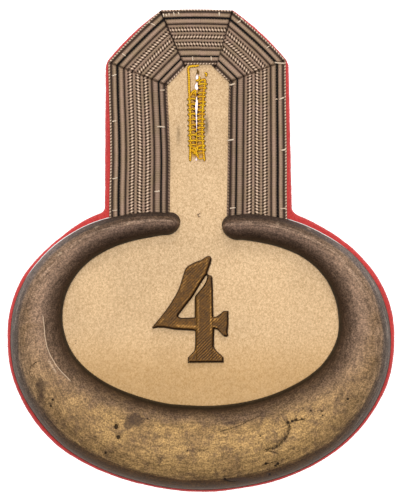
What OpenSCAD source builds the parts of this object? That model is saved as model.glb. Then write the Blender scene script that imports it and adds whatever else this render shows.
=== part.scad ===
// Officer's epaulette, lying on its back.
// A stiff base cloth carries a pale field cloth, a braid lace folded round the
// strap, a hollow metal crescent and a cast numeral. A worked buttonhole goes
// through the strap. +Y points to the head of the strap and +Z away from the
// wearer's shoulder. The origin is the middle of the underside.

/* [Overall] */
// Length from the front of the bowl to the head of the strap
overall_len = 150; // [144:1:156]
// Width of the bowl over the base cloth
bowl_w = 120.6; // [116:0.2:125]
// Reach of the bowl from its widest line to its front
bowl_front = 48.3; // [46:0.1:50]
// Rise of the bowl from its widest line to its crown, which the strap hides
bowl_rise = 43; // [42:0.1:45]

/* [Strap] */
// Width of the strap where it meets the bowl
strap_w = 57.7; // [55:0.1:60]
// Width of the strap at its shoulder corners
shoulder_w = 57.2; // [54:0.1:58]
// Width of the straight head of the strap
head_w = 22.4; // [20:0.1:26]
// Distance from the head of the strap down to its shoulder corners
shoulder_drop = 16; // [14:0.1:18]
// How far each slope bulges between its corners
slope_bulge = 0.7; // [0:0.1:1.5]
// Reach of the soft rounding at the shoulder corners
shoulder_round = 2.5; // [1:0.1:4]
// Sideways shift of the strap from the bowl's middle, as it was sewn by hand
strap_shift = -1.1; // [-2:0.1:2]
// Reach of the small round corner where the strap meets the bowl
neck_round = 1.4; // [1:0.1:3]
// How far the bowl's upper left is fuller than its oval, as the cloth was cut by hand
cloth_fullness = 0.9; // [0:0.1:1.2]

/* [Cloth layers] */
// Thickness of the stiffened base cloth
base_t = 2.4; // [1.5:0.1:3]
// Thickness of the pale field cloth
field_t = 1.2; // [1:0.1:2]
// How far the field cloth's edge lies inside the base cloth's edge
field_inset = 3.2; // [2.8:0.1:3.6]
// Space left between neighbouring pieces
fit_gap = 0.1; // [0.05:0.05:0.2]

/* [Lace] */
// Thickness of the lace at its highest ribs
lace_t = 1.3; // [1:0.1:1.6]

/* [Crescent] */
// Base cloth that shows outside the crescent at its sides
rim_show = 1; // [0.8:0.1:1.6]
// How far the crescent's upper left is fuller than its oval, as the metal was pressed
left_fullness = 1.3; // [0:0.1:1.6]
// Rise of the crescent's outer edge above the bowl's widest line
crescent_rise = 39.1; // [37:0.1:40.5]
// Width of the oval opening inside the crescent
opening_w = 85.8; // [82:0.2:90]
// Height of that opening from its widest line towards the strap
opening_up = 27.8; // [26:0.1:29]
// Height of that opening from its widest line towards the front
opening_down = 26.8; // [24:0.1:28]
// How far the opening's widest line lies above the bowl's
opening_lift = 5; // [4:0.1:6]
// Gap between the crescent's two tips
tip_gap = 12.8; // [10:0.1:15]
// Extra width of the right arm towards its tip, as the metal was pressed unevenly
right_arm_spread = 2.2; // [0:0.1:2.6]
// Extra width of the left arm at its tip
left_arm_spread = 0.8; // [0:0.1:1.2]
// How far the outer edge dips towards each tip
tip_dip = 0.5; // [0:0.1:1]
// Height of the crescent at its front
front_h = 12; // [9:0.1:14]
// Height of the crescent at its tips
tip_h = 5.6; // [4.5:0.1:7]
// Thickness of the crescent's sheet metal
sheet_t = 0.6; // [0.4:0.1:0.8]

/* [Numeral] */
// Height of the numeral
numeral_h = 33.2; // [28:0.1:36]
// Thickness of the numeral's stem
numeral_t = 1.8; // [1.4:0.1:2.4]
// Width of the bevel round each stroke
numeral_bevel = 0.6; // [0.3:0.1:0.8]

/* [Buttonhole] */
// Length of the cut through all the cloth
slit_len = 25.5; // [22:0.5:27]
// Width of the cut where it gapes most
slit_w = 1; // [0.6:0.1:1.4]
// Distance from the head of the strap to the middle of the cut
slit_drop = 32.3; // [32:0.1:34]
// Thickness of the gimp cord that edges the buttonhole
gimp_d = 0.8; // [0.6:0.1:1]
// Spacing of the stitches over the gimp cord
stitch_pitch = 1.6; // [1.4:0.1:2]

/* [Hidden] */

base_red = "firebrick";
field_cream = "wheat";
lace_grey = "rosybrown";
crescent_brass = "peru";
numeral_brass = "saddlebrown";
gimp_gold = "gold";

// Levels of the two cloths and of the work that lies on them
field_z = base_t + fit_gap;
work_z = field_z + field_t + fit_gap;

// Places along the strap, measured from the middle of the whole
head_y = overall_len / 2;
bowl_y = bowl_front - head_y;
opening_y = bowl_y + opening_lift;

function mix(a, b, share) = a + (b - a) * share;
function reversed(list) = [for (i = [len(list) - 1:-1:0]) list[i]];

// An oval has a half width, a reach up and a reach down. Its three powers square off
// the upper left, the upper right and the lower half as they grow past 2.
HALF = 0;
UP = 1;
DOWN = 2;
POWER_LEFT = 3;
POWER_RIGHT = 4;
POWER_DOWN = 5;
bowl_oval = [bowl_w / 2, bowl_rise, bowl_front, 2.1, 2.1, 2.12];
crescent_oval = [
    bowl_w / 2 - rim_show, crescent_rise, bowl_front - rim_show / 2, 2.33, 2.22, 2.1
];
opening_oval = [opening_w / 2, opening_up, opening_down, 2.2, 2.2, 2.03];
oval_steps = 132;

function signed_power(v, power) = sign(v) * pow(abs(v), power);
function grown(oval, by) = [
    oval[HALF] + by, oval[UP] + by, oval[DOWN] + by,
    oval[POWER_LEFT], oval[POWER_RIGHT], oval[POWER_DOWN]
];

// A point of an oval round its own centre. The angle runs clockwise from the top.
function oval_power(angle, oval) =
    cos(angle) < 0 ? oval[POWER_DOWN] : sin(angle) < 0 ? oval[POWER_LEFT] : oval[POWER_RIGHT];
function oval_point(angle, oval) =
    let (power = 2 / oval_power(angle, oval))
    [
        oval[HALF] * signed_power(sin(angle), power),
        (cos(angle) < 0 ? oval[DOWN] : oval[UP]) * signed_power(cos(angle), power)
    ];
// The angle at which an oval's upper half reaches x, below 0 on the left.
function oval_angle(x, oval) =
    let (power = x < 0 ? oval[POWER_LEFT] : oval[POWER_RIGHT])
    sign(x) * asin(pow(abs(x) / oval[HALF], power / 2));

// The upper left is fuller than an oval: a point there is pushed away from the bowl's
// middle, most at the full angle and less to either side.
full_angle = -41;
full_spread = 15;
function fuller(point, by) =
    let (
        away = point - [0, bowl_y],
        turn = (atan2(away[0], away[1]) - full_angle) / full_spread
    )
    point + away / norm(away) * by * exp(-turn * turn);

// A point of a curve that leaves one point towards a corner and ends at another.
function bend_point(start, corner, end, share) =
    mix(mix(start, corner, share), mix(corner, end, share), share);

// One half of a cloth layer's strap, from the head down to the neck. Side is 1 on
// the right and -1 on the left, and inset moves the edge in.
bend_shares = [0:0.25:1];
corner_shares = [0.25:0.25:1];
function strap_half(inset, side) =
    let (
        head = [strap_shift + side * (head_w / 2 - inset * 0.4), head_y - inset],
        shoulder = [strap_shift + side * (shoulder_w / 2 - inset),
            head_y - shoulder_drop - inset * 0.4],
        slope = (shoulder - head) / norm(shoulder - head),
        outward = [-slope[1], slope[0]] * side,
        bulge = (head + shoulder) / 2 + outward * 2 * slope_bulge,
        slope_end = shoulder - slope * shoulder_round,
        neck = neck_corner(inset, side)
    )
    concat(
        [for (share = bend_shares) bend_point(head, bulge, slope_end, share)],
        [for (share = corner_shares)
            bend_point(slope_end, shoulder, shoulder - [0, shoulder_round], share)],
        [for (share = bend_shares)
            bend_point(neck + [0, neck_round], neck, neck_past(inset, side), share)]
    );
// The corner of the neck lies on the strap's side line, at the height of the bowl's edge.
function neck_corner(inset, side) =
    let (
        x = strap_shift + side * (strap_w / 2 - inset),
        on_bowl = bowl_point(oval_angle(x, grown(bowl_oval, -inset)), inset)
    )
    [x, on_bowl[1]];
// The point of the bowl's edge a short way past the neck.
function neck_past(inset, side) = bowl_point(neck_angle(side) + side * neck_turn, inset);
function bowl_point(angle, inset) =
    fuller([0, bowl_y] + oval_point(angle, grown(bowl_oval, -inset)), cloth_fullness);
function neck_angle(side) = oval_angle(strap_shift + side * strap_w / 2, bowl_oval);
neck_turn = 360 / oval_steps;

// The whole outline of a cloth layer: down the strap's right side, round the bowl and
// up its left side.
function cloth_outline(inset) = concat(
    strap_half(inset, 1),
    [for (angle = [neck_angle(1) + 2 * neck_turn:neck_turn:360 + neck_angle(-1) - 2 * neck_turn])
        bowl_point(angle, inset)],
    reversed(strap_half(inset, -1))
);

// The buttonhole's cut is a slim pointed oval.
slit_at = [strap_shift - 0.1, head_y - slit_drop];
slit_steps = 24;
function slit_outline() = [
    for (i = [0:slit_steps - 1])
        let (angle = i * 360 / slit_steps)
        slit_at + [slit_w / 2 * sin(angle), slit_len / 2 * cos(angle)]
];

module cloth_layer(inset, bottom, thickness) {
    translate([0, 0, bottom])
        linear_extrude(thickness)
            difference() {
                polygon(cloth_outline(inset));
                polygon(slit_outline());
            }
}

module base_cloth() {
    color(base_red) cloth_layer(0, 0, base_t);
}

// The field cloth ends under the lace and under the crescent.
module field_cloth() {
    color(field_cream) cloth_layer(field_inset, field_z, field_t);
}

// A solid skinned over closed rings of equal length, with its two ends closed.
module skinned(rings) {
    count = len(rings[0]);
    last = len(rings) - 1;
    polyhedron(
        points = [for (ring = rings) each ring],
        faces = concat(
            [[for (i = [0:count - 1]) i]],
            [for (r = [0:last - 1], i = [0:count - 1])
                let (a = r * count + i, b = r * count + (i + 1) % count)
                [a, a + count, b + count, b]],
            [[for (i = [count - 1:-1:0]) last * count + i]]
        )
    );
}

// The crescent is pressed sheet metal: an arch swept clockwise from the right tip,
// round the front, to the left tip. A place along it is a share from 0 to 1.
crescent_steps = 60;
arch_steps = 14;
cap_steps = 5;
section_turn = 11;
arch_power_tip = 2;
arch_power_front = 2.5;
arm_end_x = tip_gap / 2 + (bowl_y + crescent_rise - opening_y - opening_up) / 2;
right_end_x = arm_end_x + right_arm_spread / 5;

// How far each arm spreads: fully at its tip and not at all past its side. The right
// arm is spread over more of its length.
function arm_spread(angle) =
    angle < 90 ? right_arm_spread * pow(cos(angle), 4)
    : angle > 270 ? left_arm_spread * pow(cos(angle), 8) : 0;
// How far the outer edge dips: fully at each tip and not at all on the lower half.
function outer_dip(angle) = cos(angle) < 0 ? 0 : tip_dip * pow(cos(angle), 12);

// The two edges of the section at a share of the way. The inner angle is turned a
// little, so that each section stands square to the crescent.
function section_ends(share) =
    let (
        outer_angle = mix(oval_angle(right_end_x, crescent_oval),
            360 + oval_angle(-arm_end_x, crescent_oval), share),
        inner_plain = mix(oval_angle(right_end_x, opening_oval),
            360 + oval_angle(-arm_end_x, opening_oval), share),
        inner_angle = inner_plain + section_turn * sin(inner_plain)
    )
    [
        fuller([0, bowl_y - outer_dip(outer_angle)] + oval_point(outer_angle, crescent_oval),
            left_fullness),
        [0, opening_y - arm_spread(inner_angle)] + oval_point(inner_angle, opening_oval)
    ];

// How far the crescent has swelled: 0 at the tips and 1 at the front.
function swell(share) = pow((1 - cos(360 * share)) / 2, 0.8);

// One section of the sheet as a closed ring: over the arch and back under it.
function arch_ring(outer, inner, height, power, wall) =
    let (
        middle = (outer + inner) / 2,
        reach = (outer - inner) / 2,
        under = 1 - wall / norm(reach)
    )
    concat(
        [for (i = [0:arch_steps]) arch_point(180 * i / arch_steps, middle, reach, height, power)],
        [for (i = [arch_steps:-1:0])
            arch_point(180 * i / arch_steps, middle, reach * under, height - wall, power)]
    );
function arch_point(angle, middle, reach, height, power) =
    let (at = middle + reach * signed_power(cos(angle), 2 / power))
    [at[0], at[1], work_z + height * pow(abs(sin(angle)), 2 / power)];

// The round end of an arm: sections that shrink as they go on past the arm's end.
function cap_rings(share, share_before) =
    let (
        ends = section_ends(share),
        ends_before = section_ends(share_before),
        middle = (ends[0] + ends[1]) / 2,
        reach = (ends[0] - ends[1]) / 2,
        onward = middle - (ends_before[0] + ends_before[1]) / 2,
        step = onward / norm(onward) * norm(reach)
    )
    [for (i = [1:cap_steps])
        let (
            angle = 84 * i / cap_steps,
            at = middle + step * sin(angle),
            edge = reach * cos(angle),
            height = tip_h * pow(cos(angle), 0.7)
        )
        arch_ring(at + edge, at - edge, height, arch_power_tip, min(sheet_t, norm(edge) / 2))];

crescent_rings = concat(
    reversed(cap_rings(0, 1 / crescent_steps)),
    [for (i = [0:crescent_steps])
        let (share = i / crescent_steps, ends = section_ends(share))
        arch_ring(ends[0], ends[1], mix(tip_h, front_h, swell(share)),
            mix(arch_power_tip, arch_power_front, swell(share)), sheet_t)],
    cap_rings(1, 1 - 1 / crescent_steps)
);

module crescent() {
    color(crescent_brass) skinned(crescent_rings);
}

// The lace is one patterned ribbon. Its bands run the whole length, and each row
// gives a band's far edge as a share of the ribbon's width, and its height as a
// share of its thickness. The rows go from either edge to the middle.
FAR = 0;
HEIGHT = 1;
lace_bands = [
    // far edge, height
    [0.038, 0.70], // beaded edge
    [0.055, 0.45], // groove
    [0.130, 0.85], // outer ribbed band
    [0.167, 0.60], // dark silk stripe
    [0.250, 0.92], // inner ribbed band
    [0.270, 0.65], // groove
    [0.330, 0.85], // plain ground
    [0.417, 1.00], // twisted row
    [0.450, 0.85], // plain ground
    [0.500, 1.00]  // half of the middle twisted row
];

// The folds of the ribbon. X is measured from the strap's middle line and the drop
// from the head of the strap.
OUTER_X = 0;
OUTER_DROP = 1;
INNER_X = 2;
INNER_DROP = 3;
lace_folds = [
    // outer x, outer drop, inner x, inner drop
    [-27.4, 67.0, -8.3, 67.0], // left foot, cut off at the crescent
    [-27.4, 16.4, -9.3, 23.2], // left shoulder
    [-10.8, 0.4, -3.8, 16.9],  // left end of the head
    [11.1, 0.4, 4.9, 16.9],    // right end of the head
    [27.4, 16.4, 9.5, 22.4],   // right shoulder
    [27.9, 67.0, 9.5, 67.0]    // right foot, cut off at the crescent
];

// The ribbon's section, as pairs of a share across and a height.
lace_half_section = [
    for (i = [0:len(lace_bands) - 1])
        let (near = i == 0 ? 0 : lace_bands[i - 1][FAR], top = lace_bands[i][HEIGHT] * lace_t)
        each [[near, top], [lace_bands[i][FAR], top]]
];
lace_half_count = len(lace_half_section) - 1;
lace_section = concat(
    [[0, 0]],
    [for (i = [0:lace_half_count - 1]) lace_half_section[i]],
    [for (i = [lace_half_count - 1:-1:0]) [1 - lace_half_section[i][0], lace_half_section[i][1]]],
    [[1, 0]]
);

// The ribbon's section laid along one fold line, and moved along the ribbon by a
// little so that neighbouring runs stay apart.
function fold_ring(fold, nudge) =
    let (
        outer = [strap_shift + fold[OUTER_X], head_y - fold[OUTER_DROP]],
        inner = [strap_shift + fold[INNER_X], head_y - fold[INNER_DROP]]
    )
    [for (p = lace_section)
        let (at = mix(outer, inner, p[0]) + nudge)
        [at[0], at[1], work_z + p[1]]];
function fold_middle(fold) =
    [fold[OUTER_X] + fold[INNER_X], -fold[OUTER_DROP] - fold[INNER_DROP]] / 2;

// One run of the ribbon, from fold to fold. Half way along, its outer edge is pushed
// out by the bulge and its inner edge stays straight.
module lace_run(number, bulge = 0) {
    start = lace_folds[number];
    end = lace_folds[number + 1];
    along = fold_middle(end) - fold_middle(start);
    step = along / norm(along);
    nudge = step * fit_gap * 0.6;
    first = fold_ring(start, nudge);
    last = fold_ring(end, -nudge);
    outward = [-step[1], step[0], 0] * bulge;
    middle = [for (i = [0:len(first) - 1])
        (first[i] + last[i]) / 2 + outward * (1 - lace_section[i][0])];
    skinned([first, middle, last]);
}

// A side run's foot is cut to the crescent's outer edge.
module lace_side(number) {
    difference() {
        lace_run(number);
        translate([0, 0, work_z - 1])
            linear_extrude(lace_t + 2)
                polygon([for (i = [0:oval_steps - 1])
                    fuller([0, bowl_y]
                        + oval_point(i * 360 / oval_steps, grown(crescent_oval, 2 * fit_gap)),
                        left_fullness)]);
    }
}

module lace_side_left() {
    color(lace_grey) lace_side(0);
}
module lace_slope_left() {
    color(lace_grey) lace_run(1, slope_bulge);
}
module lace_head() {
    color(lace_grey) lace_run(2);
}
module lace_slope_right() {
    color(lace_grey) lace_run(3, slope_bulge);
}
module lace_side_right() {
    color(lace_grey) lace_side(4);
}

// The numeral is cast in one piece, from convex strokes that grow into each other.
// A stroke's corners go clockwise. They are drawn on a numeral 100 units high, from
// its foot, with x measured from the stem's left side.
numeral_at = [-1.6, -34.9];
numeral_unit = numeral_h / 100;
blade_top = [[-10, 88], [7, 95], [12.5, 100], [15.5, 96], [10, 82], [-4, 61], [-17, 66]];
blade_foot = [[-17, 66], [-4, 61], [-16, 45], [-22, 38], [-40, 33], [-28, 48]];
crossbar = [[-40, 33.5], [-16, 42], [2, 41], [2, 29.3], [-16, 30.3], [-28, 32.2]];
stem = [[0, 62], [9.5, 75], [11.4, 82], [15.5, 81], [17, 56], [17.5, 11], [-1, 11], [0, 23]];
foot = [[-1, 13.5], [17.5, 13.5], [26.5, 5], [26.5, 0], [-7, 0], [-7, 4]];
side_arm = [[16, 42], [27.5, 49], [31, 48], [30.6, 26], [28, 24], [16, 31.5]];

// A convex outline with its edges moved in by a distance.
function inset_corner(before, at, after, distance) =
    let (
        u = (at - before) / norm(at - before),
        v = (after - at) / norm(after - at),
        normal_u = [u[1], -u[0]],
        normal_v = [v[1], -v[0]]
    )
    at + (normal_u + normal_v) * distance / (1 + normal_u * normal_v);
function inset_outline(points, distance) =
    let (count = len(points))
    [for (i = [0:count - 1])
        inset_corner(points[(i + count - 1) % count], points[i], points[(i + 1) % count], distance)];

// A stroke rises straight from the cloth and is bevelled all round its top.
module stroke(corners, thickness) {
    outline = [for (p = corners) p * numeral_unit];
    top = inset_outline(outline, numeral_bevel);
    levels = [[outline, 0], [outline, thickness - numeral_bevel], [top, thickness]];
    skinned([for (level = levels) [for (p = reversed(level[0])) [p[0], p[1], level[1]]]]);
}

module numeral() {
    color(numeral_brass)
        translate([numeral_at[0], numeral_at[1], work_z])
            union() {
                stroke(stem, numeral_t);
                stroke(foot, numeral_t);
                stroke(side_arm, numeral_t * 0.95);
                stroke(crossbar, numeral_t * 0.95);
                stroke(blade_top, numeral_t * 1.15);
                stroke(blade_foot, numeral_t * 1.1);
            }
}

// A gimp cord runs up both sides of the cut. Short stitches tie it down, and a bar
// of thread closes each end.
edging_half = 2.4;
edging_reach = slit_len / 2 + 2;
stitch_size = [edging_half - slit_w / 2 - 0.1, 0.6, 0.5];
stitch_rows = floor(edging_reach / stitch_pitch);
module buttonhole_edging() {
    color(gimp_gold)
        translate([slit_at[0], slit_at[1], work_z])
            for (side = [-1, 1]) {
                translate([side * edging_half, 0, gimp_d / 2])
                    cube([gimp_d, 2 * edging_reach, gimp_d], center = true);
                for (row = [-stitch_rows:stitch_rows])
                    translate([side * (edging_half - stitch_size[0] / 2), row * stitch_pitch,
                        stitch_size[2] / 2])
                        cube(stitch_size, center = true);
                translate([0, side * (edging_reach - gimp_d / 2), gimp_d / 2])
                    cube([2 * edging_half, gimp_d, gimp_d], center = true);
            }
}

base_cloth();
field_cloth();
crescent();
numeral();
buttonhole_edging();
lace_side_left();
lace_slope_left();
lace_head();
lace_slope_right();
lace_side_right();
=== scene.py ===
# An officer's epaulette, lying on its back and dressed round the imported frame.
# Pieces are worked out in millimetres, and make_piece turns them into metres.
import math

import bpy
import numpy as np
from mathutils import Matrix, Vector
from mathutils.geometry import delaunay_2d_cdt


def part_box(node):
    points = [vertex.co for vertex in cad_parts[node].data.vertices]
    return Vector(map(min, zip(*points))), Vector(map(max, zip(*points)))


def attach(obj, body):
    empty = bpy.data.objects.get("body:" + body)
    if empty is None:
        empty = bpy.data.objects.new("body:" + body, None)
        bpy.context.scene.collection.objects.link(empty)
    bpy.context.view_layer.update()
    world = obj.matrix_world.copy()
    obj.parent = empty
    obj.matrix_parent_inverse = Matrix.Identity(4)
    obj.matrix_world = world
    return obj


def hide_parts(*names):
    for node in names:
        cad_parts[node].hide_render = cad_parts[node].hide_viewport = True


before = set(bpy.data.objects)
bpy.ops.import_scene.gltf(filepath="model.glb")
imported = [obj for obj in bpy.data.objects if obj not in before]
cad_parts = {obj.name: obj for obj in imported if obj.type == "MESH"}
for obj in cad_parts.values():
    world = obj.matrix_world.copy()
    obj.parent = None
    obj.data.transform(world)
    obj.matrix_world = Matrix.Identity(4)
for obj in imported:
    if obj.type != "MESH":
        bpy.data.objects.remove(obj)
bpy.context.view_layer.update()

# Units and the photograph

MM = 0.001
# The photograph's frame, and what one of its pixels measures on the piece
PHOTO_SIZE = (403, 500)
PIXEL = 0.31185
PHOTO_MIDDLE = (200.75, 250.5)

# Driving sizes, as in the part's source

HEAD_Y = 75.0
BOWL_Y = -26.7
OPENING_Y = -21.7
STRAP_W = 57.7
SHOULDER_W = 57.2
HEAD_W = 22.4
SHOULDER_DROP = 16.0
SLOPE_BULGE = 0.7
SHOULDER_ROUND = 2.5
STRAP_SHIFT = -1.1
NECK_ROUND = 1.4
# How far round the bowl the neck's curve ends, and the bowl's own edge begins
NECK_TURN = math.radians(2.7)
BOWL_TURN = math.radians(4)
CLOTH_FULLNESS = 0.9
FIELD_INSET = 3.2
TIP_GAP = 12.8
CRESCENT_RISE = 39.1
OPENING_UP = 27.8
LEFT_FULLNESS = 1.3
FULL_ANGLE = -41.0
FULL_SPREAD = 15.0
RIGHT_ARM_SPREAD = 2.2
LEFT_ARM_SPREAD = 0.8
RIGHT_NECK_SPREAD = 0.7
TIP_DIP = 0.5
TIP_H = 5.6
SHEET_T = 0.6
NUMERAL_T = 1.8

# Levels, from the frame

BASE_TOP = 2.4
FIELD_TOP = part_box("field_cloth")[1][2] / MM
FIELD_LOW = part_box("field_cloth")[0][2] / MM
WORK_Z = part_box("crescent")[0][2] / MM
FRONT_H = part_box("crescent")[1][2] / MM - WORK_Z


def seen(x, y):
    """A place in the photograph, in its pixels, as millimetres on the piece."""
    return np.array([(x - PHOTO_MIDDLE[0]) * PIXEL, (PHOTO_MIDDLE[1] - y) * PIXEL])


def seen_line(places):
    return np.array([seen(x, y) for x, y in places])


# Small sums on arrays

def mix(a, b, share):
    return a + (b - a) * share


def signed_power(value, power):
    return np.sign(value) * np.abs(value) ** power


def unit(vectors):
    return vectors / np.linalg.norm(vectors, axis=-1, keepdims=True)


def smooth_step(value, low, high):
    share = np.clip((value - low) / (high - low), 0, 1)
    return share * share * (3 - 2 * share)


def bell(value):
    """1 at 0, and falling smoothly to nothing at either side."""
    return np.exp(-value ** 2)


def dome(value):
    """A round arch, 1 high at 0 and down to 0 at -1 and 1."""
    return np.sqrt(np.clip(1 - value ** 2, 0, 1))


def soft_noise(points, size, seed):
    """Smooth noise from -1 to 1 over flat points, with its knots a size apart."""
    knots = np.random.default_rng(seed).uniform(-1, 1, (61, 61))
    at = np.asarray(points)[..., :2] / size
    cell = np.floor(at).astype(int)
    share = at - cell
    share = share * share * (3 - 2 * share)
    column, row = cell[..., 0] % 60, cell[..., 1] % 60
    near = mix(knots[column, row], knots[column + 1, row], share[..., 0])
    far = mix(knots[column, row + 1], knots[column + 1, row + 1], share[..., 0])
    return mix(near, far, share[..., 1])


def reach_of(points, line):
    """Distance from flat points to a line of straight stretches, the way back to it, and its side."""
    points = np.asarray(points)[..., :2]
    nearest = np.full(points.shape[:-1], np.inf)
    way = np.zeros(points.shape)
    side = np.ones(points.shape[:-1])
    for start, end in zip(line[:-1], line[1:]):
        along = end - start
        share = np.clip(((points - start) @ along) / max(along @ along, 1e-9), 0, 1)
        gap = points - start - share[..., None] * along
        away = np.hypot(gap[..., 0], gap[..., 1])
        nearer = away < nearest
        nearest = np.where(nearer, away, nearest)
        way = np.where(nearer[..., None], gap, way)
        side = np.where(nearer, np.sign(along[0] * gap[..., 1] - along[1] * gap[..., 0]), side)
    return nearest, way, side


def distance_to(points, line):
    return reach_of(points, line)[0]


def away_from(points, x, y, half_x, half_y):
    """Distance from a place in the photograph, in half sizes of an oval round it."""
    away = (points[..., :2] - seen(x, y)) / (np.array([half_x, half_y]) * PIXEL)
    return np.hypot(away[..., 0], away[..., 1])


def spots_on(points, spots):
    """How strongly soft spots cover points. Each is an x, y, half width, half height, strength."""
    covered = np.zeros(points.shape[:-1])
    for x, y, half_x, half_y, strength in spots:
        spot = bell(away_from(points, x, y, half_x, half_y))
        covered = np.maximum(covered, strength * spot)
    return covered


def looped(line):
    """A closed outline, with its first point once more at its end."""
    return np.vstack([line, line[:1]])


def lengths_along(line):
    return np.concatenate([[0], np.cumsum(np.linalg.norm(np.diff(line, axis=0), axis=1))])


def spaced(line, step, closed=False):
    """A line's points at even steps along it."""
    line = looped(line) if closed else line
    lengths = lengths_along(line)
    places = np.linspace(0, lengths[-1], max(2, int(round(lengths[-1] / step)) + 1))
    made = np.stack([np.interp(places, lengths, row) for row in line.T], axis=1)
    return made[:-1] if closed else made


def curve_through(places, step):
    """A smooth curve through given points, at even steps."""
    places = np.asarray(places, float)
    ends = np.vstack([2 * places[0] - places[1], places, 2 * places[-1] - places[-2]])
    t = np.linspace(0, 1, 13)[:-1, None]
    made = []
    for a, b, c, d in zip(ends[:-3], ends[1:-2], ends[2:-1], ends[3:]):
        made.append(0.5 * (2 * b + (c - a) * t + (2 * a - 5 * b + 4 * c - d) * t ** 2
                           + (3 * b - a - 3 * c + d) * t ** 3))
    return spaced(np.vstack(made + [places[-1:]]), step)


# Pieces

def put(name, data):
    """A new object in the scene, of a mesh, a lamp or a camera."""
    made = bpy.data.objects.new(name, data)
    bpy.context.scene.collection.objects.link(made)
    return made


def make_piece(name, points, faces, finish, slot, nodes=(), **values):
    """A smooth mesh piece that rides on the part. Values are numbers or vectors a point."""
    mesh = bpy.data.meshes.new(name)
    mesh.from_pydata((np.asarray(points) * MM).tolist(), [], faces)
    for key, data in values.items():
        data = np.asarray(data, float)
        kind, field = ("FLOAT", "value") if data.ndim == 1 else ("FLOAT_VECTOR", "vector")
        mesh.attributes.new(key, kind, "POINT").data.foreach_set(field, data.ravel())
    mesh.polygons.foreach_set("use_smooth", [True] * len(mesh.polygons))
    mesh.materials.append(finish)
    piece = put(name, mesh)
    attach(piece, "root")
    if nodes:
        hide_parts(*nodes)
    return piece


def tube_faces(rings, sides):
    """Quads round a tube whose points lie ring by ring, and a face at each of its ends."""
    ring, side = np.divmod(np.arange((rings - 1) * sides), sides)
    near, far = ring * sides, (ring + 1) * sides
    following = (side + 1) % sides
    quads = np.stack([near + side, far + side, far + following, near + following], axis=1)
    last = range((rings - 1) * sides, rings * sides)
    return quads.tolist() + [list(range(sides)), list(reversed(last))]


class Bundle:
    """Many small meshes that are joined into one piece."""

    def __init__(self):
        self.points, self.faces, self.values = [], [], {}
        self.count = 0

    def add(self, points, faces, **values):
        self.faces += [[i + self.count for i in face] for face in faces]
        self.points.append(points)
        self.count += len(points)
        for key, data in values.items():
            self.values.setdefault(key, []).append(data)

    def make(self, name, finish, slot, nodes=()):
        values = {key: np.concatenate(data) for key, data in self.values.items()}
        return make_piece(name, np.vstack(self.points), self.faces, finish, slot, nodes, **values)


def frames_along(line):
    """Two directions across a line at each of its points, without twist."""
    along = unit(np.gradient(line, axis=0))
    side = np.cross(along[0], [0.0, 0.0, 1.0])
    if np.linalg.norm(side) < 0.1:
        side = np.array([1.0, 0.0, 0.0])
    sides = []
    for direction in along:
        side = unit(side - direction * (side @ direction))
        sides.append(side)
    return np.array(sides), np.cross(sides, along)


# How deep the groove between two plies is, and how thin a thread's end, as shares of its radius
PLY_GROOVE = 0.22
THREAD_END = 0.25


def add_thread(bundle, line, radius, pitch, sides=10, tooth=0.0):
    """A thread of two plies along a line. They wind round each other once a pitch."""
    side, up = frames_along(line)
    walked = lengths_along(line)
    angle = np.arange(sides) * 2 * math.pi / sides
    ply = np.abs(np.cos(angle - 2 * math.pi * walked[:, None] / pitch))
    end = np.clip(np.minimum(walked, walked[-1] - walked) / (radius * 1.2), 0, 1)
    size = radius * mix(THREAD_END, 1.0, dome(1 - end))
    reach = (size[:, None] * mix(1 - PLY_GROOVE, 1.0, ply))[..., None]
    across, over = np.cos(angle)[:, None], np.sin(angle)[:, None]
    points = line[:, None] + reach * (side[:, None] * across + up[:, None] * over)
    # For a thread's painted side shade: 0 on its top, rising to 1 at its sides and underside
    edge = np.where(np.sin(angle) > 0.01, np.abs(np.cos(angle)), 1.0)
    tooth = np.broadcast_to(tooth, walked.shape)
    bundle.add(points.reshape(-1, 3), tube_faces(len(line), sides), ply=ply.ravel(),
               edge=np.tile(edge, len(line)), tooth=np.repeat(tooth, sides))


# Outlines

class Oval:
    """An oval whose powers square off its upper left, upper right and lower half.

    Angles run clockwise from the top."""

    def __init__(self, centre_y, half, up, down, powers):
        self.centre_y, self.half, self.up, self.down = centre_y, half, up, down
        self.left, self.right, self.low = powers

    def at(self, angle):
        sine, cosine = np.sin(angle), np.cos(angle)
        low = cosine < 0
        bow = 2 / np.where(low, self.low, np.where(sine < 0, self.left, self.right))
        rise = np.where(low, self.down, self.up) * signed_power(cosine, bow)
        return np.stack([self.half * signed_power(sine, bow), self.centre_y + rise], axis=-1)

    def angle_at(self, x):
        power = self.left if x < 0 else self.right
        return math.copysign(math.asin((abs(x) / self.half) ** (power / 2)), x)


BOWL = Oval(BOWL_Y, 60.3, 43.0, 48.3, (2.1, 2.1, 2.12))
CRESCENT_EDGE = Oval(BOWL_Y, 59.3, CRESCENT_RISE, 47.8, (2.33, 2.22, 2.1))
OPENING_EDGE = Oval(OPENING_Y, 42.9, OPENING_UP, 26.8, (2.2, 2.2, 2.03))


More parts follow.
